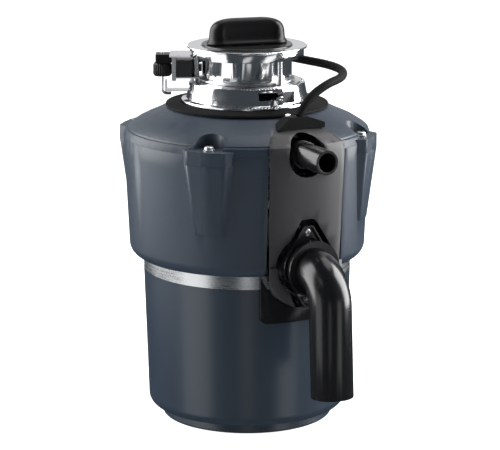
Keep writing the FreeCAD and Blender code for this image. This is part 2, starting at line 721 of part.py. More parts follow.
def make_dome():
    seat = d.seam_height + d.slip_gap
    wall = d.jacket_wall
    rim_top = d.seam_height + d.dome_rim_height
    shell = new_body("dome_shell")
    turned(shell, [
        (0, seat), (d.seam_radius, seat), (d.seam_radius - d.dome_rim_draft, rim_top, 1.2),
        (d.seam_radius - d.dome_rim_draft - d.rim_groove, rim_top + d.slip_gap * 2),
        (d.seam_radius - d.dome_rim_draft - d.rim_groove - 0.4, rim_top + d.slip_gap * 2 + d.rim_groove_step),
        (d.dome_shoulder_radius, d.dome_shoulder), (d.dome_crease_radius, d.dome_crease),
        (d.dome_hole_radius, d.dome_top), (0, d.dome_top)])
    sketch = new_sketch(shell, "XY_Plane", d.ear_top + d.slip_gap, d.ear_bearing)
    ear_outline(sketch, d.ear_width, d.ear_face, d.ear_reach, d.jacket_foot_radius - d.ear_round)
    pad = raised(shell, sketch, d.pad_top - d.ear_top)
    repeated(shell, pad, ear_count)
    inside = new_body("dome_inside")
    turned(inside, [
        (0, d.ear_top - wall), (d.seam_radius + d.slip_gap, d.ear_top - wall),
        (d.seam_radius + d.slip_gap, seat), (d.seam_radius - wall * 2, seat),
        (d.seam_radius - wall * 2, rim_top - wall * 1.5),
        (d.dome_shoulder_radius - wall / 2, d.dome_shoulder - wall),
        (d.dome_crease_radius - wall / 2, d.dome_crease - wall), (d.dome_hole_radius, d.dome_top - wall),
        (d.dome_hole_radius, d.dome_top + wall), (0, d.dome_top + wall)])
    floors = new_body("scoop_floors")
    posts(floors, ear_count, d.bolt_circle, d.ear_bearing, d.scoop_radius + wall, seat,
          d.dome_top - d.seam_height)
    hollow = without("dome_hollow", inside, [floors])
    scoops = new_body("scoops")
    posts(scoops, ear_count, d.bolt_circle, d.ear_bearing, d.scoop_radius, d.pad_top,
          d.dome_top - d.pad_top)
    holes = new_body("pad_holes")
    posts(holes, ear_count, d.bolt_circle, d.ear_bearing, d.bolt_radius + d.slip_gap,
          d.ear_top, d.dome_rim_height * 2)
    window = window_outline("dome_window", 0, d.panel_inner_radius)
    node("dome_cover", without("dome_cover", shell, [hollow, scoops, holes, window]))
    bolts = new_body("housing_bolts")
    posts(bolts, ear_count, d.bolt_circle, d.ear_bearing, d.bolt_radius,
          d.seam_height - d.bolt_length + 1, d.pad_top - d.seam_height + d.bolt_length - 1)
    posts(bolts, ear_count, d.bolt_circle, d.ear_bearing, d.bolt_head_radius, d.pad_top,
          d.bolt_head_height)
    node("housing_bolts", bolts)


def make_trim_panel():
    """Trim panel with its hood: the jacket's outline a little proud, cut to the window."""
    proud = d.panel_proud
    wall = d.panel_wall
    rim_top = d.seam_height + d.dome_rim_height
    skin = new_body("panel_skin")
    outer_foot = jacket_radius(d.outlet_height) + proud
    turned(skin, [
        (outer_foot - wall, d.outlet_height), (outer_foot, d.outlet_height),
        (d.seam_radius + proud, d.seam_height), (d.seam_radius + proud - d.dome_rim_draft, rim_top, 2),
        (d.dome_shoulder_radius + proud, d.dome_shoulder + proud),
        (d.panel_inner_radius, d.dome_crease + proud - 1), (d.panel_inner_radius, d.dome_crease - wall),
        (d.dome_shoulder_radius - wall, d.dome_shoulder - wall),
        (d.seam_radius + proud - wall, d.seam_height)])
    cutter = window_outline("panel_outline", d.fit_gap, d.panel_inner_radius + d.fit_gap)
    face = shared("panel_face", [skin, cutter])
    middle = (d.window_left + d.window_right) / 2
    hood_tools = []
    for name, reach, radius in (("hood_outer", d.hood_reach, d.hood_radius),
                                ("hood_inner", d.hood_reach - wall, d.hood_radius - wall)):
        disc = new_body(name + "_disc")
        turned(disc, [(d.can_radius + d.fit_gap * 2, 0), (reach, 0), (reach, d.seam_height),
                      (d.can_radius + d.fit_gap * 2, d.seam_height)])
        rod = solid_rod(name + "_rod", radius, d.coil_outer, d.seam_radius, d.outlet_height, middle)
        hood_tools.append(shared(name, [disc, rod]))
    hood = without("hood", hood_tools[0], [hood_tools[1]])
    low_half = solid_box("hood_half", (-2 * d.hood_radius, -2 * d.seam_radius, 0),
                         (2 * d.hood_radius, 0, d.outlet_height + d.slip_gap))
    panel = fused("panel_blank", [face, shared("hood_low", [hood, low_half, cutter])])
    mouth = solid_rod("panel_mouth", d.hub_opening_radius, d.coil_outer, d.seam_radius, d.outlet_height)
    peak = new_body("panel_peak")
    sketch = new_sketch(peak, "XZ_Plane", d.coil_outer)
    outline(sketch, [
        (-d.peak_flank, d.outlet_height + d.peak_flank / 2),
        (d.peak_flank * 1.5, d.outlet_height + d.peak_round),
        (d.peak_round * 1.3, d.outlet_height + d.peak_height, d.peak_round),
        (-d.peak_round, d.outlet_height + d.peak_height, d.peak_round * 0.7)])
    raised(peak, sketch, d.seam_radius)
    sill = new_body("panel_sill")
    sketch = new_sketch(sill, "XZ_Plane", d.hood_reach - d.panel_wall * 2)
    sill_foot = d.outlet_height - d.hood_radius + d.panel_wall
    outline(sketch, [
        (-d.peak_flank, d.outlet_height - d.peak_flank / 2), (-d.peak_round * 2, sill_foot, 3),
        (d.peak_round * 2.6, sill_foot, 3), (d.peak_flank * 1.4, d.outlet_height - d.peak_flank / 2)])
    raised(sill, sketch, d.panel_wall * 3)
    hole = solid_rod("nozzle_opening", d.nozzle_opening_radius, d.coil_outer, d.seam_radius,
                     d.nozzle_height - d.slip_gap)
    node("trim_panel", without("trim_panel", panel, [mouth, peak, sill, hole]))


def make_apron():
    """Lower apron that carries the trim down over the can, under the hood."""
    inner = d.can_radius + d.fit_gap * 2
    shell = new_body("apron_shell")
    turned(shell, [(inner, d.apron_bottom), (inner + d.apron_wall, d.apron_bottom),
                   (inner + d.apron_wall, d.jacket_foot - d.fit_gap), (inner, d.jacket_foot - d.fit_gap)])
    cutter = new_body("apron_outline")
    face = new_sketch(cutter, "XZ_Plane", d.seam_radius / 2)
    outline(face, [
        (d.window_left, d.apron_bottom, d.apron_round), (d.window_right, d.apron_bottom, d.apron_round),
        (d.window_right, d.seam_height), (d.window_left, d.seam_height)])
    raised(cutter, face, d.seam_radius)
    tongue = shared("apron_tongue", [shell, cutter])
    middle = (d.window_left + d.window_right) / 2
    room = solid_rod("apron_room", d.hood_radius + d.slip_gap, d.coil_outer, d.seam_radius,
                     d.outlet_height, middle)
    node("apron", without("apron", tongue, [room]))


# ---------------------------------------------------------------- sink mount


def make_sink_flange():
    bore = d.sleeve_radius - d.sleeve_wall
    under = d.rim_plate_top - d.rim_plate
    seat = d.rim_plate_top - d.disc_recess
    turned_body("sink_flange", [
        (bore, d.sleeve_bottom), (d.sleeve_radius, d.sleeve_bottom), (d.sleeve_radius, under),
        (d.rim_plate_radius, under), (d.rim_plate_radius, d.rim_plate_top, 0.7),
        (d.plug_disc_radius + 1.2, d.rim_plate_top), (d.plug_disc_radius + d.fit_gap, seat),
        (bore, seat)])
    inner = d.sleeve_radius + d.fit_gap
    gasket_reach = d.skirt_radius - d.backup_sheet - d.fit_gap
    turned_body("flange_gasket", [
        (inner, under - d.sink_gasket), (gasket_reach, under - d.sink_gasket),
        (gasket_reach, under), (inner, under)])


def make_backup_flange():
    """Pressed ring with a downturned skirt, and the shelf that carries the cover switch."""
    inner = d.sleeve_radius + d.fit_gap
    under = d.rim_plate_top - d.rim_plate
    plate_top = under - d.sink_gasket
    ring = new_body("backup_ring")
    turned(ring, [
        (inner, plate_top - d.backup_sheet), (d.skirt_radius - d.backup_sheet, plate_top - d.backup_sheet),
        (d.skirt_radius - d.backup_sheet, d.skirt_bottom), (d.skirt_radius, d.skirt_bottom),
        (d.skirt_radius, under - d.fit_gap, 0.6), (d.skirt_radius - d.backup_sheet, under - d.fit_gap),
        (d.skirt_radius - d.backup_sheet, plate_top), (inner, plate_top)])
    shelf = solid_box("backup_shelf", (-(d.shelf_width / 2), -d.shelf_reach, d.skirt_bottom),
                      (d.shelf_width / 2, -(d.skirt_radius - d.backup_sheet / 2),
                       d.skirt_bottom + d.backup_sheet), d.switch_bearing)
    node("backup_flange", fused("backup_flange", [ring, shelf]))


def make_mounting_ring():
    inner = d.sleeve_radius + d.fit_gap
    body = new_body("mounting_ring")
    turned(body, [
        (inner, d.ring_bottom), (d.ring_radius, d.ring_bottom), (d.ring_radius, d.ring_top, 1.4),
        (inner, d.ring_top)])
    posts(body, 3, d.screw_circle, d.screw_bearing, d.screw_radius + d.slip_gap, d.ring_bottom,
          d.ring_top - d.ring_bottom, removes=True)
    node("mounting_ring", body)
    screws = new_body("mount_screws")
    plate_under = d.rim_plate_top - d.rim_plate - d.sink_gasket - d.backup_sheet
    posts(screws, 3, d.screw_circle, d.screw_bearing, d.screw_radius, d.ring_bottom,
          plate_under - d.ring_bottom)
    posts(screws, 3, d.screw_circle, d.screw_bearing, d.screw_head_radius,
          d.ring_bottom - d.screw_head, d.screw_head)
    slots = new_sketch(screws, "XY_Plane", d.ring_bottom - d.screw_head, d.screw_bearing)
    half_slot = d.screw_radius / 5
    outline(slots, [(-half_slot, -(d.screw_circle * 2)), (half_slot, -(d.screw_circle * 2)),
                    (half_slot, -(d.screw_circle / 2)), (-half_slot, -(d.screw_circle / 2))])
    slot = sunk(screws, slots, d.screw_head / 3, True)
    repeated(screws, slot, 3)
    node("mount_screws", screws)
    wire = new_body("snap_ring")
    sketch = new_sketch(wire, "XZ_Plane")
    circle(sketch, d.sleeve_radius + d.snap_wire, d.ring_top + d.snap_wire, d.snap_wire)
    made = feature(wire, "Revolution", sketch)
    made.ReferenceAxis = (sketch, ["V_Axis"])
    made.Angle = 338
    made.Midplane = True
    settle(wire, made, False)
    wire.Placement = FreeCAD.Placement(FreeCAD.Vector(), FreeCAD.Rotation(FreeCAD.Vector(0, 0, 1), -42))
    node("snap_ring", wire)


def make_lock_ring():
    """Turning ring under the mounting ring: a pressed hat with windows, ramps and three lugs."""
    wall = d.lock_wall
    body = new_body("lock_hat")
    shoulder = d.lock_bottom + d.lock_rim
    turned(body, [
        (d.lock_radius - wall, d.lock_bottom), (d.lock_radius, d.lock_bottom, 0.8),
        (d.lock_radius, shoulder, 1), (d.lock_top_radius + d.lock_shoulder, shoulder + 1),
        (d.lock_top_radius, d.lock_top, 0.8), (d.lock_top_radius - wall, d.lock_top),
        (d.lock_top_radius - wall + 2.6, shoulder - 0.6), (d.lock_radius - wall, shoulder - 1.6)])
    window = new_sketch(body, "XZ_Plane", d.sleeve_radius, 0)
    middle = (shoulder + d.lock_top) / 2 + 1
    outline(window, [
        (d.window_back, middle - d.window_drop), (d.window_step, middle - d.window_drop),
        (d.window_front, middle + d.window_drop - 2), (d.window_front, middle + d.window_rise),
        (d.window_back, middle + d.window_rise)])
    cut = sunk(body, window, d.lock_radius, True)
    repeated(body, cut, 3)
    parts = [body]
    lug_bottom = d.lock_top - d.lug_drop
    for k in range(3):
        bearing = d.switch_bearing + 120 * k
        arm = solid_box(f"lug_arm_{k}", (-(d.lug_width / 2), -d.lug_reach, lug_bottom),
                        (d.lug_width / 2, -(d.lock_top_radius + d.fit_gap), lug_bottom + wall), bearing)
        turn_up = solid_box(f"lug_turn_{k}", (-(d.lug_width / 2), -d.lug_reach, lug_bottom),
                            (d.lug_width / 2, -(d.lug_reach - wall), d.lock_top + 0.6), bearing)
        parts += [arm, turn_up]
    node("lock_ring", fused("lock_ring", parts))


def make_cushion_mount():
    """Rubber ring that isolates the sink mount from the grind chamber."""
    neck = d.throat_radius + d.chamber_wall + d.slip_gap
    lip_under = d.dome_top + d.slip_gap
    turned_body("cushion_mount", [
        (neck, d.chamber_neck + 1), (d.dome_hole_radius - d.fit_gap, d.chamber_neck + 1),
        (d.dome_hole_radius - d.fit_gap, lip_under), (d.cushion_radius, lip_under),
        (d.cushion_radius, lip_under + d.cushion_lip, 0.5),
        (d.lock_radius + d.bead_gap, d.cushion_top + d.cushion_step),
        (d.lock_radius + d.bead_gap / 2, d.cushion_top - d.fit_gap), (neck, d.cushion_top - d.fit_gap)])
    bore = d.sleeve_radius - d.sleeve_wall
    turned_body("throat_gasket", [
        (bore, d.cushion_top), (d.ring_radius - 1, d.cushion_top),
        (d.ring_radius - 1, d.cushion_top + 3), (d.sleeve_radius + 2.4, d.cushion_top + 5),
        (d.sleeve_radius + 2.4, d.sleeve_bottom - 0.8), (bore, d.sleeve_bottom - 0.8)])


# ---------------------------------------------------------------- cover and its switch


def make_cover():
    """Batch-feed cover: plug disc with seal and magnets, and the grip bar across it."""
    seat = d.rim_plate_top - d.disc_recess + d.slip_gap
    top = seat + d.plug_disc
    plug = new_body("cover_plug")
    groove = d.plug_bottom + d.seal_rise
    groove_radius = d.plug_radius - d.seal_depth
    turned(plug, [
        (0, d.plug_bottom), (d.plug_radius - d.plug_chamfer, d.plug_bottom),
        (d.plug_radius, d.plug_bottom + d.plug_chamfer), (d.plug_radius, groove),
        (groove_radius, groove), (groove_radius, groove + d.seal_height),
        (d.plug_radius, groove + d.seal_height), (d.plug_radius, seat), (d.plug_disc_radius, seat),
        (d.plug_disc_radius, top, 0.8), (0, top)])
    posts(plug, 2, d.plug_radius - d.magnet_radius * 2, d.switch_bearing, d.magnet_radius + d.slip_gap,
          d.plug_bottom, d.magnet_pocket, removes=True)
    node("cover_plug", plug)
    magnets = new_body("cover_magnets")
    posts(magnets, 2, d.plug_radius - d.magnet_radius * 2, d.switch_bearing, d.magnet_radius,
          d.plug_bottom + d.magnet_play, d.magnet_height)
    node("cover_magnets", magnets)
    seal_foot = groove + d.fit_gap
    seal_head = groove + d.seal_height - d.fit_gap
    seal_inner = groove_radius + d.fit_gap
    turned_body("cover_seal", [
        (seal_inner, seal_foot), (d.plug_radius, seal_foot),
        (d.plug_radius + d.seal_proud, groove + d.seal_height / 2),
        (d.plug_radius, seal_head), (seal_inner, seal_head)])
    grip = new_body("cover_grip")
    foot_length = d.grip_half_length + d.grip_flare
    foot_width = d.grip_half_width + d.grip_flare
    sections = []
    waist = top + d.grip_foot
    shoulder = d.grip_top - d.grip_crown
    for height, length, width in (
            (top, foot_length, foot_width), (waist, d.grip_half_length, d.grip_half_width),
            (shoulder, d.grip_half_length - d.grip_end_lean, d.grip_half_width - d.grip_flank_slim),
            (d.grip_top, d.grip_half_length - d.grip_top_inset, d.grip_half_width - d.grip_top_slim)):
        sketch = new_sketch(grip, "XY_Plane", height, d.grip_bearing)
        round_end = width - d.grip_end_flat
        outline(sketch, [(-length, -width, round_end), (length, -width, round_end),
                         (length, width, round_end), (-length, width, round_end)])
        sections.append(sketch)
    loft = feature(grip, "AdditiveLoft", sections[0])
    loft.Sections = sections[1:]
    loft.Ruled = True
    settle(grip, loft, False)
    node("cover_grip", grip)


def make_switch():
    """Cover switch beside the sleeve, clamped by a hook bolt with a thumb nut."""
    bearing = d.switch_bearing
    sheet_gap = d.bracket_sheet
    half = d.switch_width / 2
    low = d.switch_bottom
    box = solid_box("switch_case", (-half, -d.switch_outer, low),
                    (half, -d.switch_inner, low + d.switch_height), bearing)
    button = solid_box("switch_nose", (-(half / 3), -d.switch_inner, low + d.switch_height / 4),
                       (half / 3, -(d.sleeve_radius + d.fit_gap), low + d.switch_height / 1.5), bearing)
    screw_room = solid_box("switch_notch", (half / 4, -(d.screw_circle + d.screw_head_radius), low),
                           (half * 2, 0, low + d.switch_height), bearing)
    node("cover_switch", without("cover_switch", fused("switch_solid", [box, button]), [screw_room]))
    plate = solid_box("bracket_shelf", (-half, -(d.plate_outer - d.slip_gap), low - sheet_gap),
                      (half, -(d.switch_inner - d.fit_gap), low), bearing)
    screw_holes = new_body("bracket_holes")
    posts(screw_holes, 3, d.screw_circle, d.screw_bearing, d.screw_radius + d.fit_gap,
          low - sheet_gap, sheet_gap)
    shelf = without("bracket_plate", plate, [screw_holes])
    upright = solid_box("bracket_upright", (-half, -d.plate_outer, d.plate_bottom),
                        (half, -(d.plate_outer - d.plate_thickness), d.skirt_bottom), bearing)
    node("switch_bracket", fused("switch_bracket", [shelf, upright]))
    rod_place = d.hook_reach - d.hook_radius
    block_low = d.nut_bottom + d.nut_height + d.slip_gap
    block = solid_box("block_blank", (-d.block_half, -(rod_place + d.block_front), block_low),
                      (d.block_half, -(d.shelf_reach + d.slip_gap), block_low + d.block_height), bearing)
    across, up = next(ring_points(1, rod_place, as_size(bearing)))
    bore = solid_post("block_bore", d.hook_radius + d.run_gap, block_low, d.block_height, across, up)
    tongue = solid_box("block_tongue", (-d.tongue_half, -(d.shelf_reach + 1), block_low),
                       (d.tongue_half, -(d.plate_outer + d.slip_gap), d.skirt_bottom - d.slip_gap), bearing)
    node("guide_block", without("guide_block", fused("block_solid", [block, tongue]), [bore]))
    nut = new_body("nut_blank")
    posts(nut, 1, rod_place, bearing, d.nut_radius, d.nut_bottom, d.nut_height)
    thread = solid_post("nut_bore", d.hook_radius + d.run_gap, d.nut_bottom, d.nut_height, across, up)
    node("thumb_nut", without("thumb_nut", nut, [thread]))
    make_hook_bolt(rod_place, block_low + d.block_height + 1)


def bent_path(sketch, start, corner, end, radius):
    """Two runs joined by a tangent arc."""
    a, b, c = (flat(*spot) for spot in (start, corner, end))
    enter, _, leave, centre = corner_arc(a, b, c, as_size(radius).value)
    first = sketch.addGeometry(Part.LineSegment(a, enter))
    bend, (near, far) = sketch_arc(sketch, enter, leave, centre)
    last = sketch.addGeometry(Part.LineSegment(leave, c))
    sketch.addConstraint(Sketcher.Constraint("Tangent", first, 2, bend, near))
    sketch.addConstraint(Sketcher.Constraint("Tangent", bend, far, last, 1))
    set_radius(sketch, bend, radius)
    place_point(sketch, first, 1, *start)
    place_point(sketch, last, 2, *end)
    spot = sketch.addGeometry(Part.Point(b), True)
    place_point(sketch, spot, 1, *corner)
    sketch.addConstraint(Sketcher.Constraint("PointOnObject", spot, 1, first))
    sketch.addConstraint(Sketcher.Constraint("PointOnObject", spot, 1, last))


def piped(body, profile, path):
    doc.recompute()
    pipe = feature(body, "AdditivePipe", profile)
    pipe.Spine = (path, ["Edge1", "Edge2", "Edge3"])
    return settle(body, pipe, False)


def make_hook_bolt(rod_place, top):
    """Straight rod whose end turns in under the lock ring's lug."""
    body = new_body("hook_bolt")
    profile = new_sketch(body, "XY_Plane", top)
    circle(profile, rod_place, 0, d.hook_radius)
    path = new_sketch(body, "XZ_Plane")
    bent_path(path, (rod_place, top), (rod_place, d.hook_bottom),
              (rod_place - d.hook_radius * 6, d.hook_bottom), d.hook_radius * 3)
    piped(body, profile, path)
    turn = FreeCAD.Rotation(FreeCAD.Vector(0, 0, 1), d.switch_bearing.value - 90)
    body.Placement = FreeCAD.Placement(FreeCAD.Vector(), turn)
    node("hook_bolt", body)


# ---------------------------------------------------------------- grind chamber


def make_grind_chamber():
    wall = d.chamber_wall
    outer = d.chamber_radius + wall
    flange_top = d.chamber_bottom + d.chamber_flange
    neck_top = d.cushion_top - d.fit_gap * 2
    shell = new_body("chamber_shell")
    turned(shell, [
        (d.chamber_radius, d.chamber_bottom), (d.chamber_flange_radius, d.chamber_bottom),
        (d.chamber_flange_radius, flange_top), (outer, flange_top),
        (outer, d.chamber_shoulder, 8), (d.throat_radius + wall, d.chamber_neck),
        (d.throat_radius + wall, neck_top), (d.throat_radius, neck_top),
        (d.throat_radius, d.chamber_neck - wall), (d.chamber_radius, d.chamber_shoulder - wall, 6)])
    root = d.nozzle_radius + d.nozzle_step
    inlet = solid_rod("chamber_inlet_boss", root + wall, d.chamber_radius + wall / 2, wall * 2,
                      d.nozzle_height)
    hole = solid_rod("chamber_inlet_hole", root + d.slip_gap, d.throat_radius, d.chamber_radius,
                     d.nozzle_height)
    holes = new_body("chamber_flange_holes")
    posts(holes, 4, d.through_circle, 0, d.through_radius + d.slip_gap, d.chamber_bottom, d.chamber_flange)
    node("grind_chamber", without("grind_chamber", fused("chamber_blank", [shell, inlet]), [hole, holes]))
    ring_outer = d.chamber_radius - d.slip_gap
    ring_inner = ring_outer - d.shredder_wall
    ring = new_body("shredder_ring")
    turned(ring, [(ring_inner, d.chamber_bottom), (ring_outer, d.chamber_bottom),
                  (ring_outer, d.chamber_bottom + d.shredder_height),
                  (ring_inner, d.chamber_bottom + d.shredder_height)])
    slot = new_sketch(ring, "XZ_Plane", d.throat_radius)
    half = d.shredder_wall
    outline(slot, [(-half, d.chamber_bottom + 3), (half, d.chamber_bottom + 3),
                   (half, d.chamber_bottom + d.shredder_height / 2),
                   (-half, d.chamber_bottom + d.shredder_height / 2)])
    cut = sunk(ring, slot, d.throat_radius, True)
    repeated(ring, cut, d.shredder_slots)
    node("shredder_ring", ring)
    make_inlet()


def make_inlet():
    inner_end = d.chamber_radius + 0.6
    bore = d.nozzle_bore
    body = new_body("dishwasher_inlet")
    tube = new_sketch(body, "XZ_Plane", inner_end)
    circle(tube, 0, d.nozzle_height, d.nozzle_radius)
    circle(tube, 0, d.nozzle_height, bore)
    raised(body, tube, d.nozzle_reach - inner_end)
    root = new_sketch(body, "XZ_Plane", inner_end)
    circle(root, 0, d.nozzle_height, d.nozzle_radius + d.nozzle_step)
    circle(root, 0, d.nozzle_height, (bore + d.nozzle_radius) / 2)
    raised(body, root, d.nozzle_reach - d.nozzle_exposed - inner_end)
    seat = new_sketch(body, "XZ_Plane", inner_end)
    circle(seat, 0, d.nozzle_height, bore + d.plug_lip)
    sunk(body, seat, d.knockout_sheet + d.fit_gap, True)
    node("dishwasher_inlet", body)
    node("inlet_plug", solid_rod("inlet_plug", bore + d.plug_lip, inner_end, d.knockout_sheet,
                                 d.nozzle_height))


def make_turntable():
    """Rotating plate with its hub, two swivel impellers on pins and the hub nut."""
    top = d.turntable_height + d.turntable_sheet
    body = new_body("turntable")
    turned(body, [
        (d.shaft_radius, d.turntable_height - d.turntable_boss),
        (d.hub_radius, d.turntable_height - d.turntable_boss),
        (d.hub_radius, d.turntable_height), (d.turntable_radius, d.turntable_height),
        (d.turntable_radius, top, 1), (d.hub_radius, top), (d.hub_radius, top + d.hub_height, 2),
        (d.shaft_radius, top + d.hub_height)])
    pin_hole = d.impeller_pin_radius
    posts(body, 2, d.impeller_pivot, 90, pin_hole, d.turntable_height, d.turntable_sheet, removes=True)
    drain = new_sketch(body, "XY_Plane", d.turntable_height)
    for across, up in ring_points(6, d.turntable_radius - d.turntable_rim, as_size(30)):
        circle(drain, across, up, d.turntable_hole)
    sunk(body, drain, d.turntable_sheet, True)
    node("turntable", body)
    pins = new_body("impeller_pins")
    impeller_top = top + d.fit_gap + d.impeller_height
    posts(pins, 2, d.impeller_pivot, 90, pin_hole, d.turntable_height, impeller_top + d.fit_gap
          - d.turntable_height)
    posts(pins, 2, d.impeller_pivot, 90, pin_hole + 2, impeller_top + d.fit_gap, 2)
    node("impeller_pins", pins)
    for number, side in ((1, 1), (2, -1)):
        blade = new_body(f"impeller_{number}")
        pivot = d.impeller_pivot * side
        plan = new_sketch(blade, "XY_Plane", top + d.fit_gap)
        half = d.impeller_width / 2
        outline(plan, [
            (pivot - half, -d.impeller_length, half - 1), (pivot + half, -d.impeller_length, half - 1),
            (pivot + half, d.impeller_tail, half - 1), (pivot - half, d.impeller_tail, half - 1)])
        raised(blade, plan, d.impeller_height)
        hole = new_sketch(blade, "XY_Plane", top + d.fit_gap)
        circle(hole, pivot, 0, pin_hole + d.run_gap)
        sunk(blade, hole, d.impeller_height, True)
        node(f"impeller_{number}", blade)
    nut = new_body("hub_nut")
    turned(nut, [(0, top + d.hub_height + d.slip_gap), (d.nut_hub_radius, top + d.hub_height + d.slip_gap),
                 (d.nut_hub_radius, top + d.hub_height + d.nut_hub_height, 3),
                 (0, top + d.hub_height + d.nut_hub_height)])
    node("hub_nut", nut)


# ---------------------------------------------------------------- motor


def make_upper_bell():
    """Upper end bell: floor, water chamber wall, bearing housing and the outlet boss."""
    wall = d.bell_wall
    outer = d.frame_radius + wall
    top = d.chamber_bottom
    housing_top = d.bell_hub_top
    hub = d.bell_hub_radius
    bearing_floor = d.bell_bottom + 3
    shell = new_body("bell_shell")
    turned(shell, [
        (d.shaft_radius + 1.5, d.bell_bottom), (outer, d.bell_bottom), (outer, top - d.chamber_flange),
        (d.chamber_flange_radius, top - d.chamber_flange), (d.chamber_flange_radius, top),
        (outer - wall, top), (outer - wall, d.bell_floor), (hub, d.bell_floor), (hub, housing_top),
        (d.seal_radius, housing_top), (d.seal_radius, bearing_floor), (d.shaft_radius + 1.5, bearing_floor)])
    boss_radius = d.outlet_boss_radius - d.boss_inset
    boss = solid_rod("outlet_boss", boss_radius, d.frame_radius, d.outlet_face - d.frame_radius,
                     d.outlet_height)
    plate = new_body("outlet_plate")
    plan = new_sketch(plate, "XZ_Plane", d.outlet_face - d.chamber_flange)
    diamond(plan, boss_radius, d.drain_bolt_spread, d.drain_bolt_radius + d.plate_end)
    raised(plate, plan, d.chamber_flange)
    bore = solid_rod("outlet_bore", d.outlet_bore, d.frame_radius - wall * 2, d.outlet_face, d.outlet_height)
    holes = []
    for side in (-1, 1):
        holes.append(solid_rod(f"drain_hole_{side + 1}", d.drain_bolt_radius + d.slip_gap,
                               d.outlet_face - d.chamber_flange, d.chamber_flange,
                               d.outlet_height + d.drain_bolt_spread * side))
    through = new_body("bell_through")
    posts(through, 4, d.through_circle, 0, d.through_radius + d.slip_gap, top - d.chamber_flange,
          d.chamber_flange)
    lugs = new_body("bell_lugs")
    posts(lugs, 4, d.through_circle, 45, d.through_radius * 2.4, d.bell_bottom, d.bell_floor - d.bell_bottom)
    lug_holes = new_body("bell_lug_holes")
    posts(lug_holes, 4, d.through_circle, 45, d.through_radius + d.slip_gap, d.bell_bottom,
          d.bell_floor - d.bell_bottom)
    solid = fused("bell_blank", [shell, boss, plate, lugs])
    node("upper_end_bell", without("upper_end_bell", solid, [bore, through, lug_holes] + holes))
    seal_foot = housing_top - d.shaft_seal_height
    turned_body("shaft_seal", [
        (d.shaft_radius + d.run_gap, seal_foot), (d.seal_radius, seal_foot),
        (d.seal_radius, housing_top), (d.shaft_radius + d.run_gap, housing_top)])


def diamond(sketch, radius, spread, end_radius, across=0):
    """Two-bolt flange outline: a pointed shape whose four corners are rounded."""
    height = d.outlet_height
    outline(sketch, [
        (across - radius * 1.12, height, radius * 0.8),
        (across - end_radius * 0.9, height - spread - end_radius, end_radius * 0.62),
        (across + end_radius * 0.9, height - spread - end_radius, end_radius * 0.62),
        (across + radius * 1.12, height, radius * 0.8),
        (across + end_radius * 0.9, height + spread + end_radius, end_radius * 0.62),
        (across - end_radius * 0.9, height + spread + end_radius, end_radius * 0.62)])


def make_motor():
    shaft_top = d.turntable_height + d.turntable_sheet + d.hub_height
    shaft = new_body("rotor_shaft")
    turned(shaft, [(0, d.shaft_bottom), (d.shaft_radius, d.shaft_bottom), (d.shaft_radius, shaft_top),
                   (0, shaft_top)])
    socket = new_sketch(shaft, "XY_Plane", d.shaft_bottom)
    side = d.wrench_socket_radius
    outline(socket, [(side * math.cos(math.radians(60 * k)), side * math.sin(math.radians(60 * k)))
                     for k in range(6)])
    sunk(shaft, socket, d.wrench_socket_depth, True)
    node("rotor_shaft", shaft)
    rotor_outer = d.stator_bore - d.air_gap
    stack_top = d.stator_bottom + d.stator_height
    low_ring = d.stator_bottom - d.end_ring_height
    high_ring = stack_top + d.end_ring_height
    turned_body("rotor_core", [
        (d.shaft_radius, d.stator_bottom), (d.end_ring_inner, d.stator_bottom), (d.end_ring_inner, low_ring),
        (d.end_ring_outer, low_ring), (d.end_ring_outer, d.stator_bottom), (rotor_outer, d.stator_bottom),
        (rotor_outer, stack_top), (d.end_ring_outer, stack_top), (d.end_ring_outer, high_ring),
        (d.end_ring_inner, high_ring), (d.end_ring_inner, stack_top), (d.shaft_radius, stack_top)])
    stator_outer = d.frame_radius - d.frame_wall
    turned_body("stator_core", [
        (d.stator_bore, d.stator_bottom), (stator_outer, d.stator_bottom), (stator_outer, stack_top),
        (d.stator_bore, stack_top)])
    heads = []
    for name, bottom in (("upper_coil", stack_top), ("lower_coil", d.stator_bottom - d.coil_height)):
        head = new_body(name)
        turned(head, [
            (d.coil_inner, bottom, 3), (d.coil_outer, bottom, 3),
            (d.coil_outer, bottom + d.coil_height, 3), (d.coil_inner, bottom + d.coil_height, 3)])
        heads.append(head)
    node("stator_windings", fused("stator_windings", heads))
    turned_body("motor_frame", [
        (stator_outer, d.frame_bottom), (d.frame_radius, d.frame_bottom), (d.frame_radius, d.bell_bottom),
        (stator_outer, d.bell_bottom)])
    make_lower_bell()


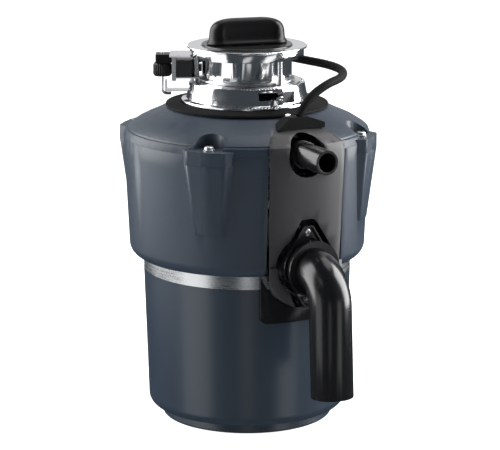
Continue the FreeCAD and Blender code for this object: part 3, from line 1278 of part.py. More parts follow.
def make_lower_bell():
    """Lower end bell with its bearing housing and the posts that the base cap screws to."""
    plate_top = d.lower_bell_bottom + d.lower_bell_plate
    hub = d.lower_bell_hub
    body = new_body("lower_bell_shell")
    turned(body, [
        (d.shaft_radius + 1.5, d.lower_bell_bottom), (d.chamber_flange_radius, d.lower_bell_bottom),
        (d.chamber_flange_radius, plate_top), (hub, plate_top), (hub, plate_top + d.bearing_height),
        (d.bearing_radius, plate_top + d.bearing_height), (d.bearing_radius, plate_top),
        (d.shaft_radius + 1.5, plate_top)])
    post_foot = d.base_recess + d.base_plate
    legs = new_body("lower_bell_posts")
    posts(legs, 3, d.post_circle, 0, d.post_radius, post_foot, d.lower_bell_bottom - post_foot + 1)
    threads = new_body("lower_bell_threads")
    posts(threads, 3, d.post_circle, 0, d.base_screw_radius + d.slip_gap, post_foot, d.base_screw_length)
    holes = new_body("lower_bell_holes")
    posts(holes, 4, d.through_circle, 45, d.through_radius + d.slip_gap, d.lower_bell_bottom,
          d.lower_bell_plate)
    blank = fused("lower_bell_blank", [body, legs])
    node("lower_end_bell", without("lower_end_bell", blank, [threads, holes]))
    bearings = []
    for name, bottom in (("upper_bearing", d.bell_bottom + 3), ("lower_bearing", plate_top)):
        ring = new_body(name)
        turned(ring, [
            (d.shaft_radius, bottom), (d.bearing_radius, bottom),
            (d.bearing_radius, bottom + d.bearing_height), (d.shaft_radius, bottom + d.bearing_height)])
        bearings.append(ring)
    node("bearings", fused("bearings", bearings))
    bolts = new_body("through_bolts")
    head = d.through_radius * 1.7
    posts(bolts, 4, d.through_circle, 45, d.through_radius, d.lower_bell_bottom,
          d.bell_floor - d.lower_bell_bottom)
    posts(bolts, 4, d.through_circle, 45, head, d.lower_bell_bottom - 2, 2)
    joint = d.chamber_bottom - d.chamber_flange
    posts(bolts, 4, d.through_circle, 0, d.through_radius, joint, d.chamber_flange * 2)
    posts(bolts, 4, d.through_circle, 0, head, joint + d.chamber_flange * 2, 2)
    node("through_bolts", bolts)
    screws = new_body("base_screws")
    posts(screws, 3, d.post_circle, 0, d.base_screw_radius, d.base_recess, d.base_screw_length)
    posts(screws, 3, d.post_circle, 0, d.base_screw_head, d.base_recess - d.base_screw_head_height,
          d.base_screw_head_height)
    node("base_screws", screws)


def make_electrics():
    """What sits between base cap and lower end bell, and the sound insulation."""
    floor = d.base_recess + d.base_plate
    roof = d.lower_bell_bottom
    body = new_body("capacitor")
    plan = new_sketch(body, "XZ_Plane", -d.capacitor_back)
    circle(plan, -d.capacitor_x, (floor + roof) / 2, d.capacitor_radius)
    raised(body, plan, d.capacitor_length)
    node("capacitor", body)
    relay = solid_box("relay_case", (14, 6, floor + 2), (40, 44, roof - 8))
    node("start_relay", relay)
    stem_top = floor + d.button_stem * 5
    seat = floor + d.button_stem * 1.5 + d.button_travel
    protector = new_body("protector_case")
    plan = new_sketch(protector, "XY_Plane", seat)
    left = d.button_x - d.protector_half_length
    right = d.button_x + d.protector_half_length
    front = d.button_y - d.protector_half_width
    back = d.button_y + d.protector_half_width
    outline(plan, [(left, front), (right, front), (right, back), (left, back)])
    raised(protector, plan, d.protector_height)
    bore = new_sketch(protector, "XY_Plane", seat)
    circle(bore, d.button_x, d.button_y, d.button_stem + d.run_gap)
    sunk(protector, bore, stem_top + d.button_travel + 1 - seat, True)
    feet = new_body("protector_feet")
    plan = new_sketch(feet, "XY_Plane", floor)
    for side in (-1, 1):
        circle(plan, d.button_x + side * d.protector_foot_spread, d.button_y, d.protector_foot)
    raised(feet, plan, seat - floor + 0.5)
    node("overload_protector", fused("overload_protector", [protector, feet]))
    button = new_body("reset_button")
    cap = new_sketch(button, "XY_Plane", d.base_recess / 3)
    circle(cap, d.button_x, d.button_y, d.button_radius)
    raised(button, cap, floor - d.base_recess / 3)
    stem = new_sketch(button, "XY_Plane", floor)
    circle(stem, d.button_x, d.button_y, d.button_stem)
    raised(button, stem, stem_top - floor)
    node("reset_button", button)
    spring = new_body("reset_spring")
    coil = new_sketch(spring, "XY_Plane", floor + d.slip_gap)
    coil_radius = d.button_stem + d.spring_inner
    circle(coil, d.button_x, d.button_y, coil_radius + d.spring_wire)
    circle(coil, d.button_x, d.button_y, coil_radius)
    raised(spring, coil, seat - floor - d.slip_gap * 2)
    node("reset_spring", spring)
    liner = d.can_foot_radius - d.can_wall - d.liner_gap
    wrap = new_body("can_liner")
    turned(wrap, [
        (liner - d.liner, floor + d.can_round), (liner, floor + d.can_round),
        (liner, d.band_bottom - d.liner_gap * 2), (liner - d.liner, d.band_bottom - d.liner_gap * 2)])
    blanket = new_body("blanket_ring")
    boss_reach = d.bolt_circle - d.bolt_radius - d.boss_wall - d.liner_gap
    turned(blanket, [
        (boss_reach - d.liner, d.can_top + d.liner_gap), (boss_reach, d.can_top + d.liner_gap),
        (boss_reach, d.seam_height - d.liner_gap * 2),
        (boss_reach - d.liner, d.seam_height - d.liner_gap * 2)])
    gap = solid_box("blanket_gap", (d.window_left, -2 * d.seam_radius, d.can_top),
                    (d.window_right, -(d.seam_radius / 4), d.seam_height))
    node("sound_insulation", fused("sound_insulation", [wrap, without("jacket_liner", blanket, [gap])]))


# ---------------------------------------------------------------- outlet


def make_outlet():
    face = d.outlet_face + d.drain_gasket
    gasket = new_body("drain_gasket")
    plan = new_sketch(gasket, "XZ_Plane", d.outlet_face)
    circle(plan, 0, d.outlet_height, d.outlet_boss_radius - d.drain_gasket_inset)
    circle(plan, 0, d.outlet_height, d.outlet_bore)
    raised(gasket, plan, d.drain_gasket - d.fit_gap / 2)
    node("drain_gasket", gasket)
    flange_face = face + d.pipe_lip + d.fit_gap
    reach = d.outlet_boss_radius + d.flange_lap
    end = d.drain_bolt_radius + d.flange_end
    flange = new_body("drain_flange")
    plan = new_sketch(flange, "XZ_Plane", flange_face)
    diamond(plan, reach, d.drain_bolt_spread, end)
    raised(flange, plan, d.drain_flange_sheet)
    skirt = new_sketch(flange, "XZ_Plane", flange_face + d.drain_flange_sheet)
    inset = d.drain_flange_sheet / 2
    diamond(skirt, reach, d.drain_bolt_spread, end)
    diamond(skirt, reach - inset, d.drain_bolt_spread, end - inset)
    raised(flange, skirt, d.drain_flange_skirt - d.drain_flange_sheet)
    opening = new_sketch(flange, "XZ_Plane", flange_face)
    circle(opening, 0, d.outlet_height, d.socket_radius + d.fit_gap)
    for side in (-1, 1):
        circle(opening, 0, d.outlet_height + d.drain_bolt_spread * side, d.drain_bolt_radius + d.slip_gap)
    sunk(flange, opening, d.drain_flange_sheet, True)
    node("drain_flange", flange)
    bolts = new_body("drain_bolts")
    under = flange_face + d.drain_flange_sheet
    back = d.outlet_face - d.chamber_flange
    for start, length, radius in ((back, under - back, d.drain_bolt_radius),
                                  (under, d.drain_bolt_radius, d.drain_bolt_radius * 1.5)):
        plan = new_sketch(bolts, "XZ_Plane", start)
        for side in (-1, 1):
            circle(plan, 0, d.outlet_height + d.drain_bolt_spread * side, radius)
        raised(bolts, plan, length)
    node("drain_bolts", bolts)
    make_elbow(face)


def bent_pipe(name, face, radii):
    """Sweep of one or two circles from the outlet, round the bend, to the pipe's end."""
    body = new_body(name)
    profile = new_sketch(body, "XZ_Plane", face)
    for radius in radii:
        circle(profile, 0, d.outlet_height, radius)
    path = new_sketch(body, "YZ_Plane")
    bent_path(path, (-face, d.outlet_height), (-d.bend_corner, d.outlet_height),
              (-d.pipe_end_reach, d.pipe_end), d.bend_radius)
    piped(body, profile, path)
    return body


def make_elbow(face):
    """Discharge elbow: the bent pipe, and the collar round its start with lip, socket and rim."""
    rings = new_body("elbow_rings")
    for start, length, radius in (
            (face, d.pipe_lip, d.pipe_lip_radius),
            (face + d.pipe_lip, d.rim_face - d.rim_width - face - d.pipe_lip, d.socket_radius),
            (d.rim_face - d.rim_width, d.rim_width, d.rim_radius)):
        ring = new_sketch(rings, "XZ_Plane", start)
        circle(ring, 0, d.outlet_height, radius)
        raised(rings, ring, length)
    core = bent_pipe("pipe_core", face, [d.pipe_radius])
    node("elbow_collar", without("elbow_collar", rings, [core]))
    node("discharge_elbow", bent_pipe("discharge_elbow", face, [d.pipe_radius, d.pipe_radius - d.pipe_wall]))


# ---------------------------------------------------------------- switch cable

# From the switch's rear face, round behind the sleeve, out to one side and down into the boot.
CABLE_ROUTE = [
    (-41.7, 36.3, 326.0), (-33.6, 51.2, 326.0), (-18.3, 62.5, 326.5), (1.2, 66.8, 327.0),
    (21.3, 62.5, 327.5), (38.5, 50.0, 328.0), (50.5, 32.5, 328.3), (56.8, 12.5, 328.2),
    (61.8, -5.5, 327.6), (69.5, -22.5, 326.5), (72.3, -42.0, 325.2), (66.7, -61.4, 324.0),
    (54.2, -76.5, 322.2), (36.6, -84.2, 320.0), (20.8, -86.4, 312.6), (10.6, -87.4, 303.6),
    (4.4, -88.0, 293.8)]
ARC_SHARE = 0.45


def cable_wire(route):
    """Straight runs joined by tangent arcs, each as large as its two runs allow."""
    points = [FreeCAD.Vector(*point) for point in route]
    edges = []
    radii = []
    start = points[0]
    for before, corner, after in zip(points, points[1:], points[2:]):
        run = min((corner - before).Length, (after - corner).Length)
        half_turn = (corner - before).getAngle(after - corner) / 2
        radius = ARC_SHARE * run / math.tan(half_turn)
        radii.append(radius)
        enter, middle, leave, _ = corner_arc(before, corner, after, radius)
        edges.append(Part.LineSegment(start, enter).toShape())
        edges.append(Part.Arc(enter, middle, leave).toShape())
        start = leave
    edges.append(Part.LineSegment(start, points[-1]).toShape())
    return Part.Wire(edges), radii


def make_cable():
    radius = d.cable_radius.value
    wire, radii = cable_wire(CABLE_ROUTE)
    first = FreeCAD.Vector(*CABLE_ROUTE[0])
    along = FreeCAD.Vector(*CABLE_ROUTE[1]) - first
    section = Part.Wire(Part.Circle(first, along, radius).toShape())
    tube = wire.makePipeShell([section], True, False)
    cable = doc.addObject("Part::Feature", "switch_cable")
    cable.Shape = tube
    expected = math.pi * radius ** 2 * wire.Length
    print(f"cable length {wire.Length:.1f}, radii", [round(value, 1) for value in radii])
    print(f"cable volume {tube.Volume:.0f}, section times length {expected:.0f}")
    if abs(tube.Volume / expected - 1) > 0.01:
        raise RuntimeError("the cable's tube does not match its length")
    node("switch_cable", cable)


def make_boot():
    """Wedge boot on the dome's slope where the cable enters, and its screw."""
    blank = new_body("boot_blank")
    plan = new_sketch(blank, "XZ_Plane", d.panel_inner_radius - d.boot_depth / 2)
    top = CABLE_ROUTE[-1][2]
    right = d.boot_width / 2 + d.boot_reach
    outline(plan, [
        (-d.boot_width / 2 + 1, top - d.boot_height, 0.8), (right, top - d.boot_height, 0.8),
        (right, top - d.boot_height * 0.55, 1), (d.boot_width / 4, top, 2),
        (-(d.boot_width / 6), top, 2)])
    raised(blank, plan, d.boot_depth)
    skin = new_body("boot_seat")
    gap = d.slip_gap
    turned(skin, [
        (0, d.chamber_neck - d.boot_height), (d.dome_shoulder_radius, d.dome_shoulder - d.jacket_wall),
        (d.dome_shoulder_radius, d.dome_shoulder + d.panel_proud + gap),
        (d.panel_inner_radius - d.fit_gap * 3, d.dome_crease + d.panel_proud + gap),
        (d.dome_crease_radius, d.dome_crease + d.panel_proud + gap),
        (d.dome_hole_radius, d.dome_top + gap * 2), (0, d.dome_top + gap * 2)])
    screw_x = -(d.boot_width / 6) + d.boot_screw_inset
    screw_y = -(d.panel_inner_radius - d.boot_depth / 4)
    hole = solid_post("boot_screw_hole", d.drain_bolt_radius / 2 + gap, top - 5, 6, screw_x, screw_y)
    node("cable_boot", without("cable_boot", blank, [skin, hole]))
    screw = new_body("boot_screw")
    for bottom, length, radius in (
            (top - d.boot_screw_length, d.boot_screw_length, d.drain_bolt_radius / 2),
            (top, d.boot_screw_head, d.drain_bolt_radius)):
        plan = new_sketch(screw, "XY_Plane", bottom)
        circle(plan, screw_x, screw_y, radius)
        raised(screw, plan, length)
    node("boot_screw", screw)


# ---------------------------------------------------------------- the whole object


def write_parts():
    """Stop on any failed object or shape, then write each sub-part to its own file."""
    doc.recompute()
    for thing in doc.Objects:
        if {"Invalid", "Error"} & set(thing.State):
            raise RuntimeError(f"{thing.Label} did not recompute")
    for label, thing in nodes.items():
        if thing.Shape.isNull() or not thing.Shape.isValid():
            raise RuntimeError(f"{label} has no valid shape")
    os.makedirs("parts", exist_ok=True)
    for label, thing in nodes.items():
        thing.Shape.exportStep(f"parts/{label}.step")
        print(f"{label}: {thing.Shape.Volume:.0f} mm3, {len(thing.Shape.Solids)} solids")


make_base_cap()
make_lower_can()
make_jacket()
make_dome()
make_trim_panel()
make_apron()
make_sink_flange()
make_backup_flange()
make_mounting_ring()
make_lock_ring()
make_cushion_mount()
make_cover()
make_switch()
make_cable()
make_boot()
make_grind_chamber()
make_turntable()
make_upper_bell()
make_motor()
make_electrics()
make_outlet()
write_parts()
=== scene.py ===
"""Looks of a batch-feed kitchen garbage disposal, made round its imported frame."""

import json
import math

import bmesh
import bpy
from mathutils import Matrix, Vector


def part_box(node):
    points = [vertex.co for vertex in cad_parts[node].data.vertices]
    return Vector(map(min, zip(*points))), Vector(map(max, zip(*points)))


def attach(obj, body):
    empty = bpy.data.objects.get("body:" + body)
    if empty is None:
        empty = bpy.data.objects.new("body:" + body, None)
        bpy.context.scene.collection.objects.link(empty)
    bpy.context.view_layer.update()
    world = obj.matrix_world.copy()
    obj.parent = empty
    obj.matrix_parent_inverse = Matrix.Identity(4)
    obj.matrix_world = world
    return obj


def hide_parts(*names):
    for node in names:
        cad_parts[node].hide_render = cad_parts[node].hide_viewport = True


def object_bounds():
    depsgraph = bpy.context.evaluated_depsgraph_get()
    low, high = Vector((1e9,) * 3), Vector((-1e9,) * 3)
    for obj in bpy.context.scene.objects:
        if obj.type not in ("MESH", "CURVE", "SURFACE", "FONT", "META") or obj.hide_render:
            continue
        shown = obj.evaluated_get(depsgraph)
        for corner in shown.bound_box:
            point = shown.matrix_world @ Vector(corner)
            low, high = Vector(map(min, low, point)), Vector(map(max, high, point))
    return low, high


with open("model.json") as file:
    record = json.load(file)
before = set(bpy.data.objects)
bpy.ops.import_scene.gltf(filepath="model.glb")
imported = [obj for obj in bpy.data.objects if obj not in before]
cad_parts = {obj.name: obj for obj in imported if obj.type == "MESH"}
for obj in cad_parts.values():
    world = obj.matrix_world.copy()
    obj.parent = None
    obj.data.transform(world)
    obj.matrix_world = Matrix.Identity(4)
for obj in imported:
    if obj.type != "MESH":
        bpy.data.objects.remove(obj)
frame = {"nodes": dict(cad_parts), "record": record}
cad_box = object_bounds()

bl_info = {
    "name": "Garbage disposal looks",
    "version": (1, 0, 0),
    "blender": (4, 5, 0),
    "location": "View3D > Sidebar > Disposal",
    "description": "Finishes and detailed pieces for a kitchen garbage disposal",
    "category": "Object",
}

MM = 0.001

# Detail that only the looks have. What ends in * MM is a length in metres.
WELD_REACH = 0.005 * MM
BEVEL_ANGLE = math.radians(40)
FLOOR_RADIUS = 9.0
JACKET_BOLT_SPREAD = 60 * MM
JACKET_BOLT_HEAD = 3.8 * MM
FLANGE_BOLT_SPREAD = 30 * MM
FLANGE_BOLT_HEAD = 2.6 * MM
CABLE_RADIUS = 3.9 * MM


# ---------------------------------------------------------------- settings


def colour_property(name, description, default):
    return bpy.props.FloatVectorProperty(
        name=name, description=description, default=default, subtype="COLOR", min=0, max=1, size=3)


def length_property(name, description, default):
    return bpy.props.FloatProperty(
        name=name, description=description, default=default, min=0, unit="LENGTH", precision=4)


class DisposalColours(bpy.types.PropertyGroup):
    """Colours of the finishes."""

    shell: colour_property("Shell", "Moulded jacket and dome", (0.017, 0.027, 0.042))
    can: colour_property("Can", "Enamelled motor can", (0.013, 0.022, 0.036))
    panel: colour_property("Panel", "Trim panel over the outlets", (0.027, 0.026, 0.028))
    black: colour_property("Black plastic", "Pipe, nozzle, cover and grip", (0.0045, 0.0046, 0.005))
    rubber: colour_property("Rubber", "Cushion, gaskets, cable and boot", (0.0035, 0.0035, 0.0038))
    chrome: colour_property("Chrome", "Plated sink mount", (0.86, 0.86, 0.87))
    steel: colour_property("Steel", "Bare steel pieces", (0.60, 0.61, 0.62))
    floor: colour_property("Floor", "Pale floor", (0.55, 0.55, 0.55))


class DisposalSizes(bpy.types.PropertyGroup):
    """Sizes of the view and of the fine detail."""

    edge: length_property("Edge", "Rounding of moulded edges", 0.7 * MM)
    distance: length_property("Camera distance", "From the axis to the camera", 2.13415)
    aim: length_property("Aim height", "Height that the camera looks at", 0.17737)
    azimuth: bpy.props.FloatProperty(
        name="Azimuth", description="Camera bearing round the object",
        default=math.radians(-28.5), subtype="ANGLE")
    elevation: bpy.props.FloatProperty(
        name="Elevation", description="Camera height above the horizon",
        default=math.radians(13.12), subtype="ANGLE")
    lens: bpy.props.FloatProperty(name="Lens", description="Focal length in millimetres", default=165.43)
    shift: bpy.props.FloatProperty(name="Shift", description="Sideways shift of the picture", default=0.006)


# ---------------------------------------------------------------- shader expressions


class Value:
    """A node's output whose arithmetic adds Math nodes."""

    def __init__(self, shader, output):
        self.shader = shader
        self.output = output

    def math(self, operation, first, second):
        return self.shader.add("ShaderNodeMath", {"operation": operation}, {0: first, 1: second})

    def __add__(self, other):
        return self.math("ADD", self, other)

    def __sub__(self, other):
        return self.math("SUBTRACT", self, other)

    def __mul__(self, other):
        return self.math("MULTIPLY", self, other)

    def __radd__(self, other):
        return self.math("ADD", other, self)

    def __rsub__(self, other):
        return self.math("SUBTRACT", other, self)

    def __rmul__(self, other):
        return self.math("MULTIPLY", other, self)


class Shader:
    """A material, with one method that adds a node and hands back its output."""

    def __init__(self, name):
        self.material = bpy.data.materials.new(name)
        self.material.use_nodes = True
        self.tree = self.material.node_tree
        self.tree.nodes.clear()
        self.place = self.add("ShaderNodeTexCoord", output="Object")

    def add(self, kind, settings=None, inputs=None, output=0):
        node = self.tree.nodes.new(kind)
        for key, value in (settings or {}).items():
            if key == "stops":
                self.set_stops(node.color_ramp, value)
            else:
                setattr(node, key, value)
        for key, value in (inputs or {}).items():
            if isinstance(value, Value):
                self.tree.links.new(value.output, node.inputs[key])
            else:
                node.inputs[key].default_value = value
        return Value(self, node.outputs[output])

    @staticmethod
    def set_stops(ramp, stops):
        while len(ramp.elements) < len(stops):
            ramp.elements.new(0.5)
        for element, (position, grey) in zip(ramp.elements, stops):
            element.position = position
            element.color = (grey, grey, grey, 1)

    def stretch(self, scale):
        """The place, scaled apart along X, Y and Z."""
        return self.add("ShaderNodeVectorMath", {"operation": "MULTIPLY"}, {0: self.place, 1: scale})

    def noise(self, scale, detail=2.0, place=None, roughness=0.5):
        return self.add("ShaderNodeTexNoise", None, {
            "Vector": place or self.place, "Scale": scale, "Detail": detail, "Roughness": roughness})

    def cells(self, scale):
        return self.add("ShaderNodeTexVoronoi", None, {"Vector": self.place, "Scale": scale})

    def ramp(self, value, stops):
        return self.add("ShaderNodeValToRGB", {"stops": stops}, {0: value})

    def mix(self, share, first, second):
        """One colour turning into another."""
        return self.add("ShaderNodeMix", {"data_type": "RGBA"}, {0: share, 6: first, 7: second}, 2)

    def shades(self, share, colour, low, high):
        """One colour between two brightnesses."""
        return self.mix(share, rgba(colour, low), rgba(colour, high))

    def around(self):
        """The place unrolled about the vertical axis: bearing, radius and height."""
        x = self.add("ShaderNodeSeparateXYZ", None, {0: self.place})
        y, z = (Value(self, output) for output in x.output.node.outputs[1:])
        bearing = x.math("ARCTAN2", x, y)
        radius = x.math("SQRT", x * x + y * y, 0.0)
        return bearing, radius, z

    def vector(self, x, y, z):
        return self.add("ShaderNodeCombineXYZ", None, {0: x, 1: y, 2: z})

    def facing_up(self):
        """1 on top faces and 0 on walls and undersides."""
        normal = self.add("ShaderNodeNewGeometry", output="Normal")
        upward = self.add("ShaderNodeSeparateXYZ", None, {0: normal}, 2)
        return self.add("ShaderNodeClamp", None, {"Value": upward})

    def bump(self, height, depth, strength):
        return self.add("ShaderNodeBump", None, {"Height": height, "Distance": depth, "Strength": strength})

    def surface(self, inputs):
        """Close the material with one Principled surface."""
        body = self.add("ShaderNodeBsdfPrincipled", None, inputs)
        # This node has no output that the add method could hand back.
        end = self.tree.nodes.new("ShaderNodeOutputMaterial")
        self.tree.links.new(body.output, end.inputs["Surface"])
        return self.material


def rgba(colour, brightness=1.0):
    return tuple(min(1.0, channel * brightness) for channel in colour[:3]) + (1.0,)


# ---------------------------------------------------------------- finishes


def moulded(name, colour, roughness=0.5, grain=1500.0, depth=0.05 * MM):
    """Injection-moulded plastic with a spark-eroded grain."""
    shader = Shader(name)
    mottle = shader.noise(14.0, 4.0)
    texture = shader.noise(grain, 3.0, roughness=0.6)
    pits = shader.cells(grain * 0.6)
    dust = shader.facing_up() * shader.ramp(shader.noise(120.0, 5.0), [(0.45, 0.0), (0.75, 1.0)])
    rubbed = shader.ramp(shader.noise(9.0, 6.0, shader.stretch((1, 1, 3.5))), [(0.55, 0.0), (0.72, 1.0)])
    tone = shader.shades(mottle, colour, 0.90, 1.10)
    tone = shader.mix(dust * 0.02, tone, (0.42, 0.42, 0.41, 1))
    return shader.surface({
        "Base Color": tone,
        "Roughness": roughness + (mottle - 0.5) * 0.10 - rubbed * 0.05 + dust * 0.12,
        "Normal": shader.bump(texture * 0.6 + pits * 0.4, depth, 0.5),
        "Specular IOR Level": 0.4,
    })


def enamel(name, colour, roughness=0.34):
    """Baked enamel on sheet steel, with a fine orange peel."""
    shader = Shader(name)
    mottle = shader.noise(10.0, 3.0)
    peel = shader.noise(420.0, 1.0)
    specks = shader.ramp(shader.cells(900.0), [(0.0, 1.0), (0.08, 0.0)])
    return shader.surface({
        "Base Color": shader.shades(mottle, colour, 0.93, 1.07),
        "Roughness": roughness + (mottle - 0.5) * 0.08 + specks * 0.10,
        "Normal": shader.bump(peel + specks * 0.3, 0.02 * MM, 0.6),
        "Coat Weight": 0.25,
        "Coat Roughness": 0.2,
    })


def gloss(name, colour, roughness=0.22, depth=0.012 * MM, shine=0.5):
    """Polished black plastic with faint flow marks and hairlines."""
    shader = Shader(name)
    flow = shader.noise(22.0, 3.0)
    hairs = shader.ramp(shader.noise(60.0, 8.0, shader.stretch((1, 6, 1))), [(0.60, 0.0), (0.70, 1.0)])
    return shader.surface({
        "Base Color": shader.shades(flow, colour, 0.85, 1.25),
        "Roughness": roughness + (flow - 0.5) * 0.10 + hairs * 0.07,
        "Normal": shader.bump(shader.noise(700.0, 2.0), depth, 0.5),
        "Specular IOR Level": shine,
    })


def rubber(name, colour, roughness=0.72, depth=0.03 * MM):
    """Moulded rubber with a bloom on what faces up."""
    shader = Shader(name)
    cloud = shader.noise(30.0, 5.0)
    bloom = shader.facing_up() * shader.ramp(shader.noise(200.0, 4.0), [(0.4, 0.0), (0.8, 1.0)])
    tone = shader.mix(bloom * 0.02, shader.shades(cloud, colour, 0.8, 1.3), (0.30, 0.30, 0.30, 1))
    return shader.surface({
        "Base Color": tone,
        "Roughness": roughness + (cloud - 0.5) * 0.16 + bloom * 0.1,
        "Normal": shader.bump(shader.noise(1300.0, 3.0), depth, 0.6),
        "Specular IOR Level": 0.12,
    })


def plated(name, colour, roughness=0.13):
    """Bright chrome over pressed steel, a little uneven and smudged."""
    shader = Shader(name)
    wave = shader.noise(28.0, 2.0)
    smudge = shader.ramp(shader.noise(45.0, 6.0), [(0.50, 0.0), (0.68, 1.0)])
    return shader.surface({
        "Base Color": shader.shades(smudge, colour, 1.0, 0.94),
        "Metallic": 1.0,
        "Roughness": roughness + smudge * 0.06,
        "Normal": shader.bump(wave, 0.25 * MM, 0.25),
    })


def brushed(name, colour, roughness=0.28):
    """Steel with fine turning lines round the vertical axis."""
    shader = Shader(name)
    bearing, radius, height = shader.around()
    place = shader.vector(bearing * 3.0, radius * 900.0, height * 900.0)
    lines = shader.noise(1.0, 4.0, place, 0.7)
    cloud = shader.noise(35.0, 3.0)
    return shader.surface({
        "Base Color": shader.shades(lines, colour, 0.82, 1.10),
        "Metallic": 1.0,
        "Roughness": roughness + (lines - 0.5) * 0.25 + (cloud - 0.5) * 0.10,
        "Normal": shader.bump(lines, 0.02 * MM, 0.4),
    })


def cast(name, colour, roughness=0.5, metallic=1.0):
    """Die-cast or phosphated metal with a coarse skin."""
    shader = Shader(name)
    skin = shader.noise(600.0, 4.0, roughness=0.65)
    stain = shader.noise(25.0, 5.0)
    return shader.surface({
        "Base Color": shader.shades(stain, colour, 0.75, 1.12),
        "Metallic": metallic,
        "Roughness": roughness + (skin - 0.5) * 0.2,
        "Normal": shader.bump(skin, 0.08 * MM, 0.6),
    })


def wound(name, colour):
    """Enamelled copper wire laid round the stator."""
    shader = Shader(name)
    _, radius, height = shader.around()
    strands = shader.add("ShaderNodeMath", {"operation": "SINE"}, {0: radius * 9000.0 + height * 4000.0})
    uneven = shader.noise(180.0, 3.0)
    return shader.surface({
        "Base Color": shader.shades(uneven, colour, 0.55, 1.15),
        "Metallic": 0.85,
        "Roughness": 0.34 + (uneven - 0.5) * 0.2,
        "Normal": shader.bump(strands * 0.5 + uneven, 0.2 * MM, 0.6),
    })


def felt(name, colour):
    """Pressed sound-deadening felt."""
    shader = Shader(name)
    tufts = shader.noise(900.0, 6.0, roughness=0.75)
    return shader.surface({
        "Base Color": shader.shades(tufts, colour, 0.6, 1.3),
        "Roughness": 0.85 + tufts * 0.1,
        "Normal": shader.bump(tufts, 0.4 * MM, 0.8),
        "Sheen Weight": 0.3,
    })


def make_finishes(colours):
    """Every finish by the record's slot name."""
    return {
        "grey_shell": enamel("enamel_grey", colours.can),
        "grey_plastic": moulded("moulded_grey", colours.shell, 0.42),
        "warm_panel": moulded("moulded_panel", colours.panel, 0.46),
        "black_plastic": gloss("plastic_black", colours.black),
        "black_matte": gloss("satin_black", colours.black, 0.34, 0.02 * MM, 0.22),
        "rubber": rubber("rubber_black", colours.rubber),
        "chrome": plated("chrome", colours.chrome),
        "steel": brushed("steel_turned", colours.steel),
        "dark_steel": cast("steel_phosphated", (0.10, 0.10, 0.11), 0.45, 0.7),
        "aluminium": cast("aluminium_cast", (0.55, 0.56, 0.58), 0.42),
        "copper": wound("copper_wire", (0.72, 0.33, 0.14)),
        "foam": felt("felt_grey", (0.22, 0.22, 0.23)),
        "red_plastic": gloss("plastic_red", (0.55, 0.02, 0.015), 0.3),
        "grey_light": moulded("moulded_light", (0.42, 0.42, 0.41), 0.5),
    }


finishes = {}


def slot_of(node):
    """The record's material slot of a CAD node."""
    for part in frame["record"]["subparts"]:
        if part["node"] == node:
            return part["material_slot"]
    raise RuntimeError(f"no slot for {node}")


def dress(*nodes, edge=0.0):
    """Give CAD nodes their finish, and round their sharp edges a little."""
    for node in nodes:
        thing = frame["nodes"][node]
        thing.data.materials.clear()
        thing.data.materials.append(finishes[slot_of(node)])
        if edge:
            weld = thing.modifiers.new("weld", "WELD")
            weld.merge_threshold = WELD_REACH
            bevel = thing.modifiers.new("edges", "BEVEL")
            bevel.width = edge
            bevel.segments = 2
            bevel.limit_method = "ANGLE"
            bevel.angle_limit = BEVEL_ANGLE
            bevel.harden_normals = True


# ---------------------------------------------------------------- mesh helpers


def points_of(node):
    return [vertex.co for vertex in frame["nodes"][node].data.vertices]


def clusters(node, reach):
    """Boxes of a node's separate solids, which lie further apart than reach."""
    groups = []
    for point in points_of(node):
        for group in groups:
            if (point - group[0]).length < reach:
                group.append(point)
                break
        else:
            groups.append([point])
    boxes = []
    for group in groups:
        low = Vector(min(point[axis] for point in group) for axis in range(3))
        high = Vector(max(point[axis] for point in group) for axis in range(3))
        boxes.append((low, high))
    return boxes


def heading(node):
    """Bearing of a long node about the vertical axis, and its half length and half width."""
    points = points_of(node)
    xx = sum(point.x * point.x for point in points)
    yy = sum(point.y * point.y for point in points)
    xy = sum(point.x * point.y for point in points)
    turn = math.atan2(2 * xy, xx - yy) / 2
    along = Vector((math.cos(turn), math.sin(turn), 0))
    across = Vector((-math.sin(turn), math.cos(turn), 0))
    return turn, max(point @ along for point in points), max(point @ across for point in points)


def circle_ring(radius, height, count=64, corners=0):
    """Points round the Z axis: a circle, or a regular polygon whose flats are at the radius."""
    ring = []
    for step in range(count):
        angle = 2 * math.pi * step / count
        reach = radius
        if corners:
            flat = 2 * math.pi / corners
            reach = radius / math.cos((angle + flat / 2) % flat - flat / 2)
        ring.append(Vector((reach * math.cos(angle), reach * math.sin(angle), height)))
    return ring


def stadium_ring(half_length, half_width, height, waist=0.0, count=24):
    """A slot outline along X whose sides draw in at the middle."""
    ring = []
    straight = half_length - half_width
    for side in (1, -1):
        for step in range(count + 1):
            angle = -math.pi / 2 + math.pi * step / count + (0 if side > 0 else math.pi)
            ring.append(Vector((side * straight + half_width * math.cos(angle),
                                half_width * math.sin(angle), height)))
        for step in range(1, count):
            x = side * straight * (1 - 2 * step / count)
            draw = 1 - waist * (1 - (x / half_length) ** 2)
            ring.append(Vector((x, side * half_width * draw, height)))
    return ring


def skin(work, rings, ends=True, place=None):
    """Faces between rings of equal count, with a flat cap at each end or joined end to start."""
    made = []
    for ring in rings:
        made.append([work.verts.new(place @ point if place else point) for point in ring])
    pairs = list(zip(made, made[1:]))
    if not ends:
        pairs.append((made[-1], made[0]))
    for lower, upper in pairs:
        for step in range(len(lower)):
            following = (step + 1) % len(lower)
            work.faces.new((lower[step], lower[following], upper[following], upper[step]))
    if ends:
        work.faces.new(list(reversed(made[0])))
        work.faces.new(made[-1])


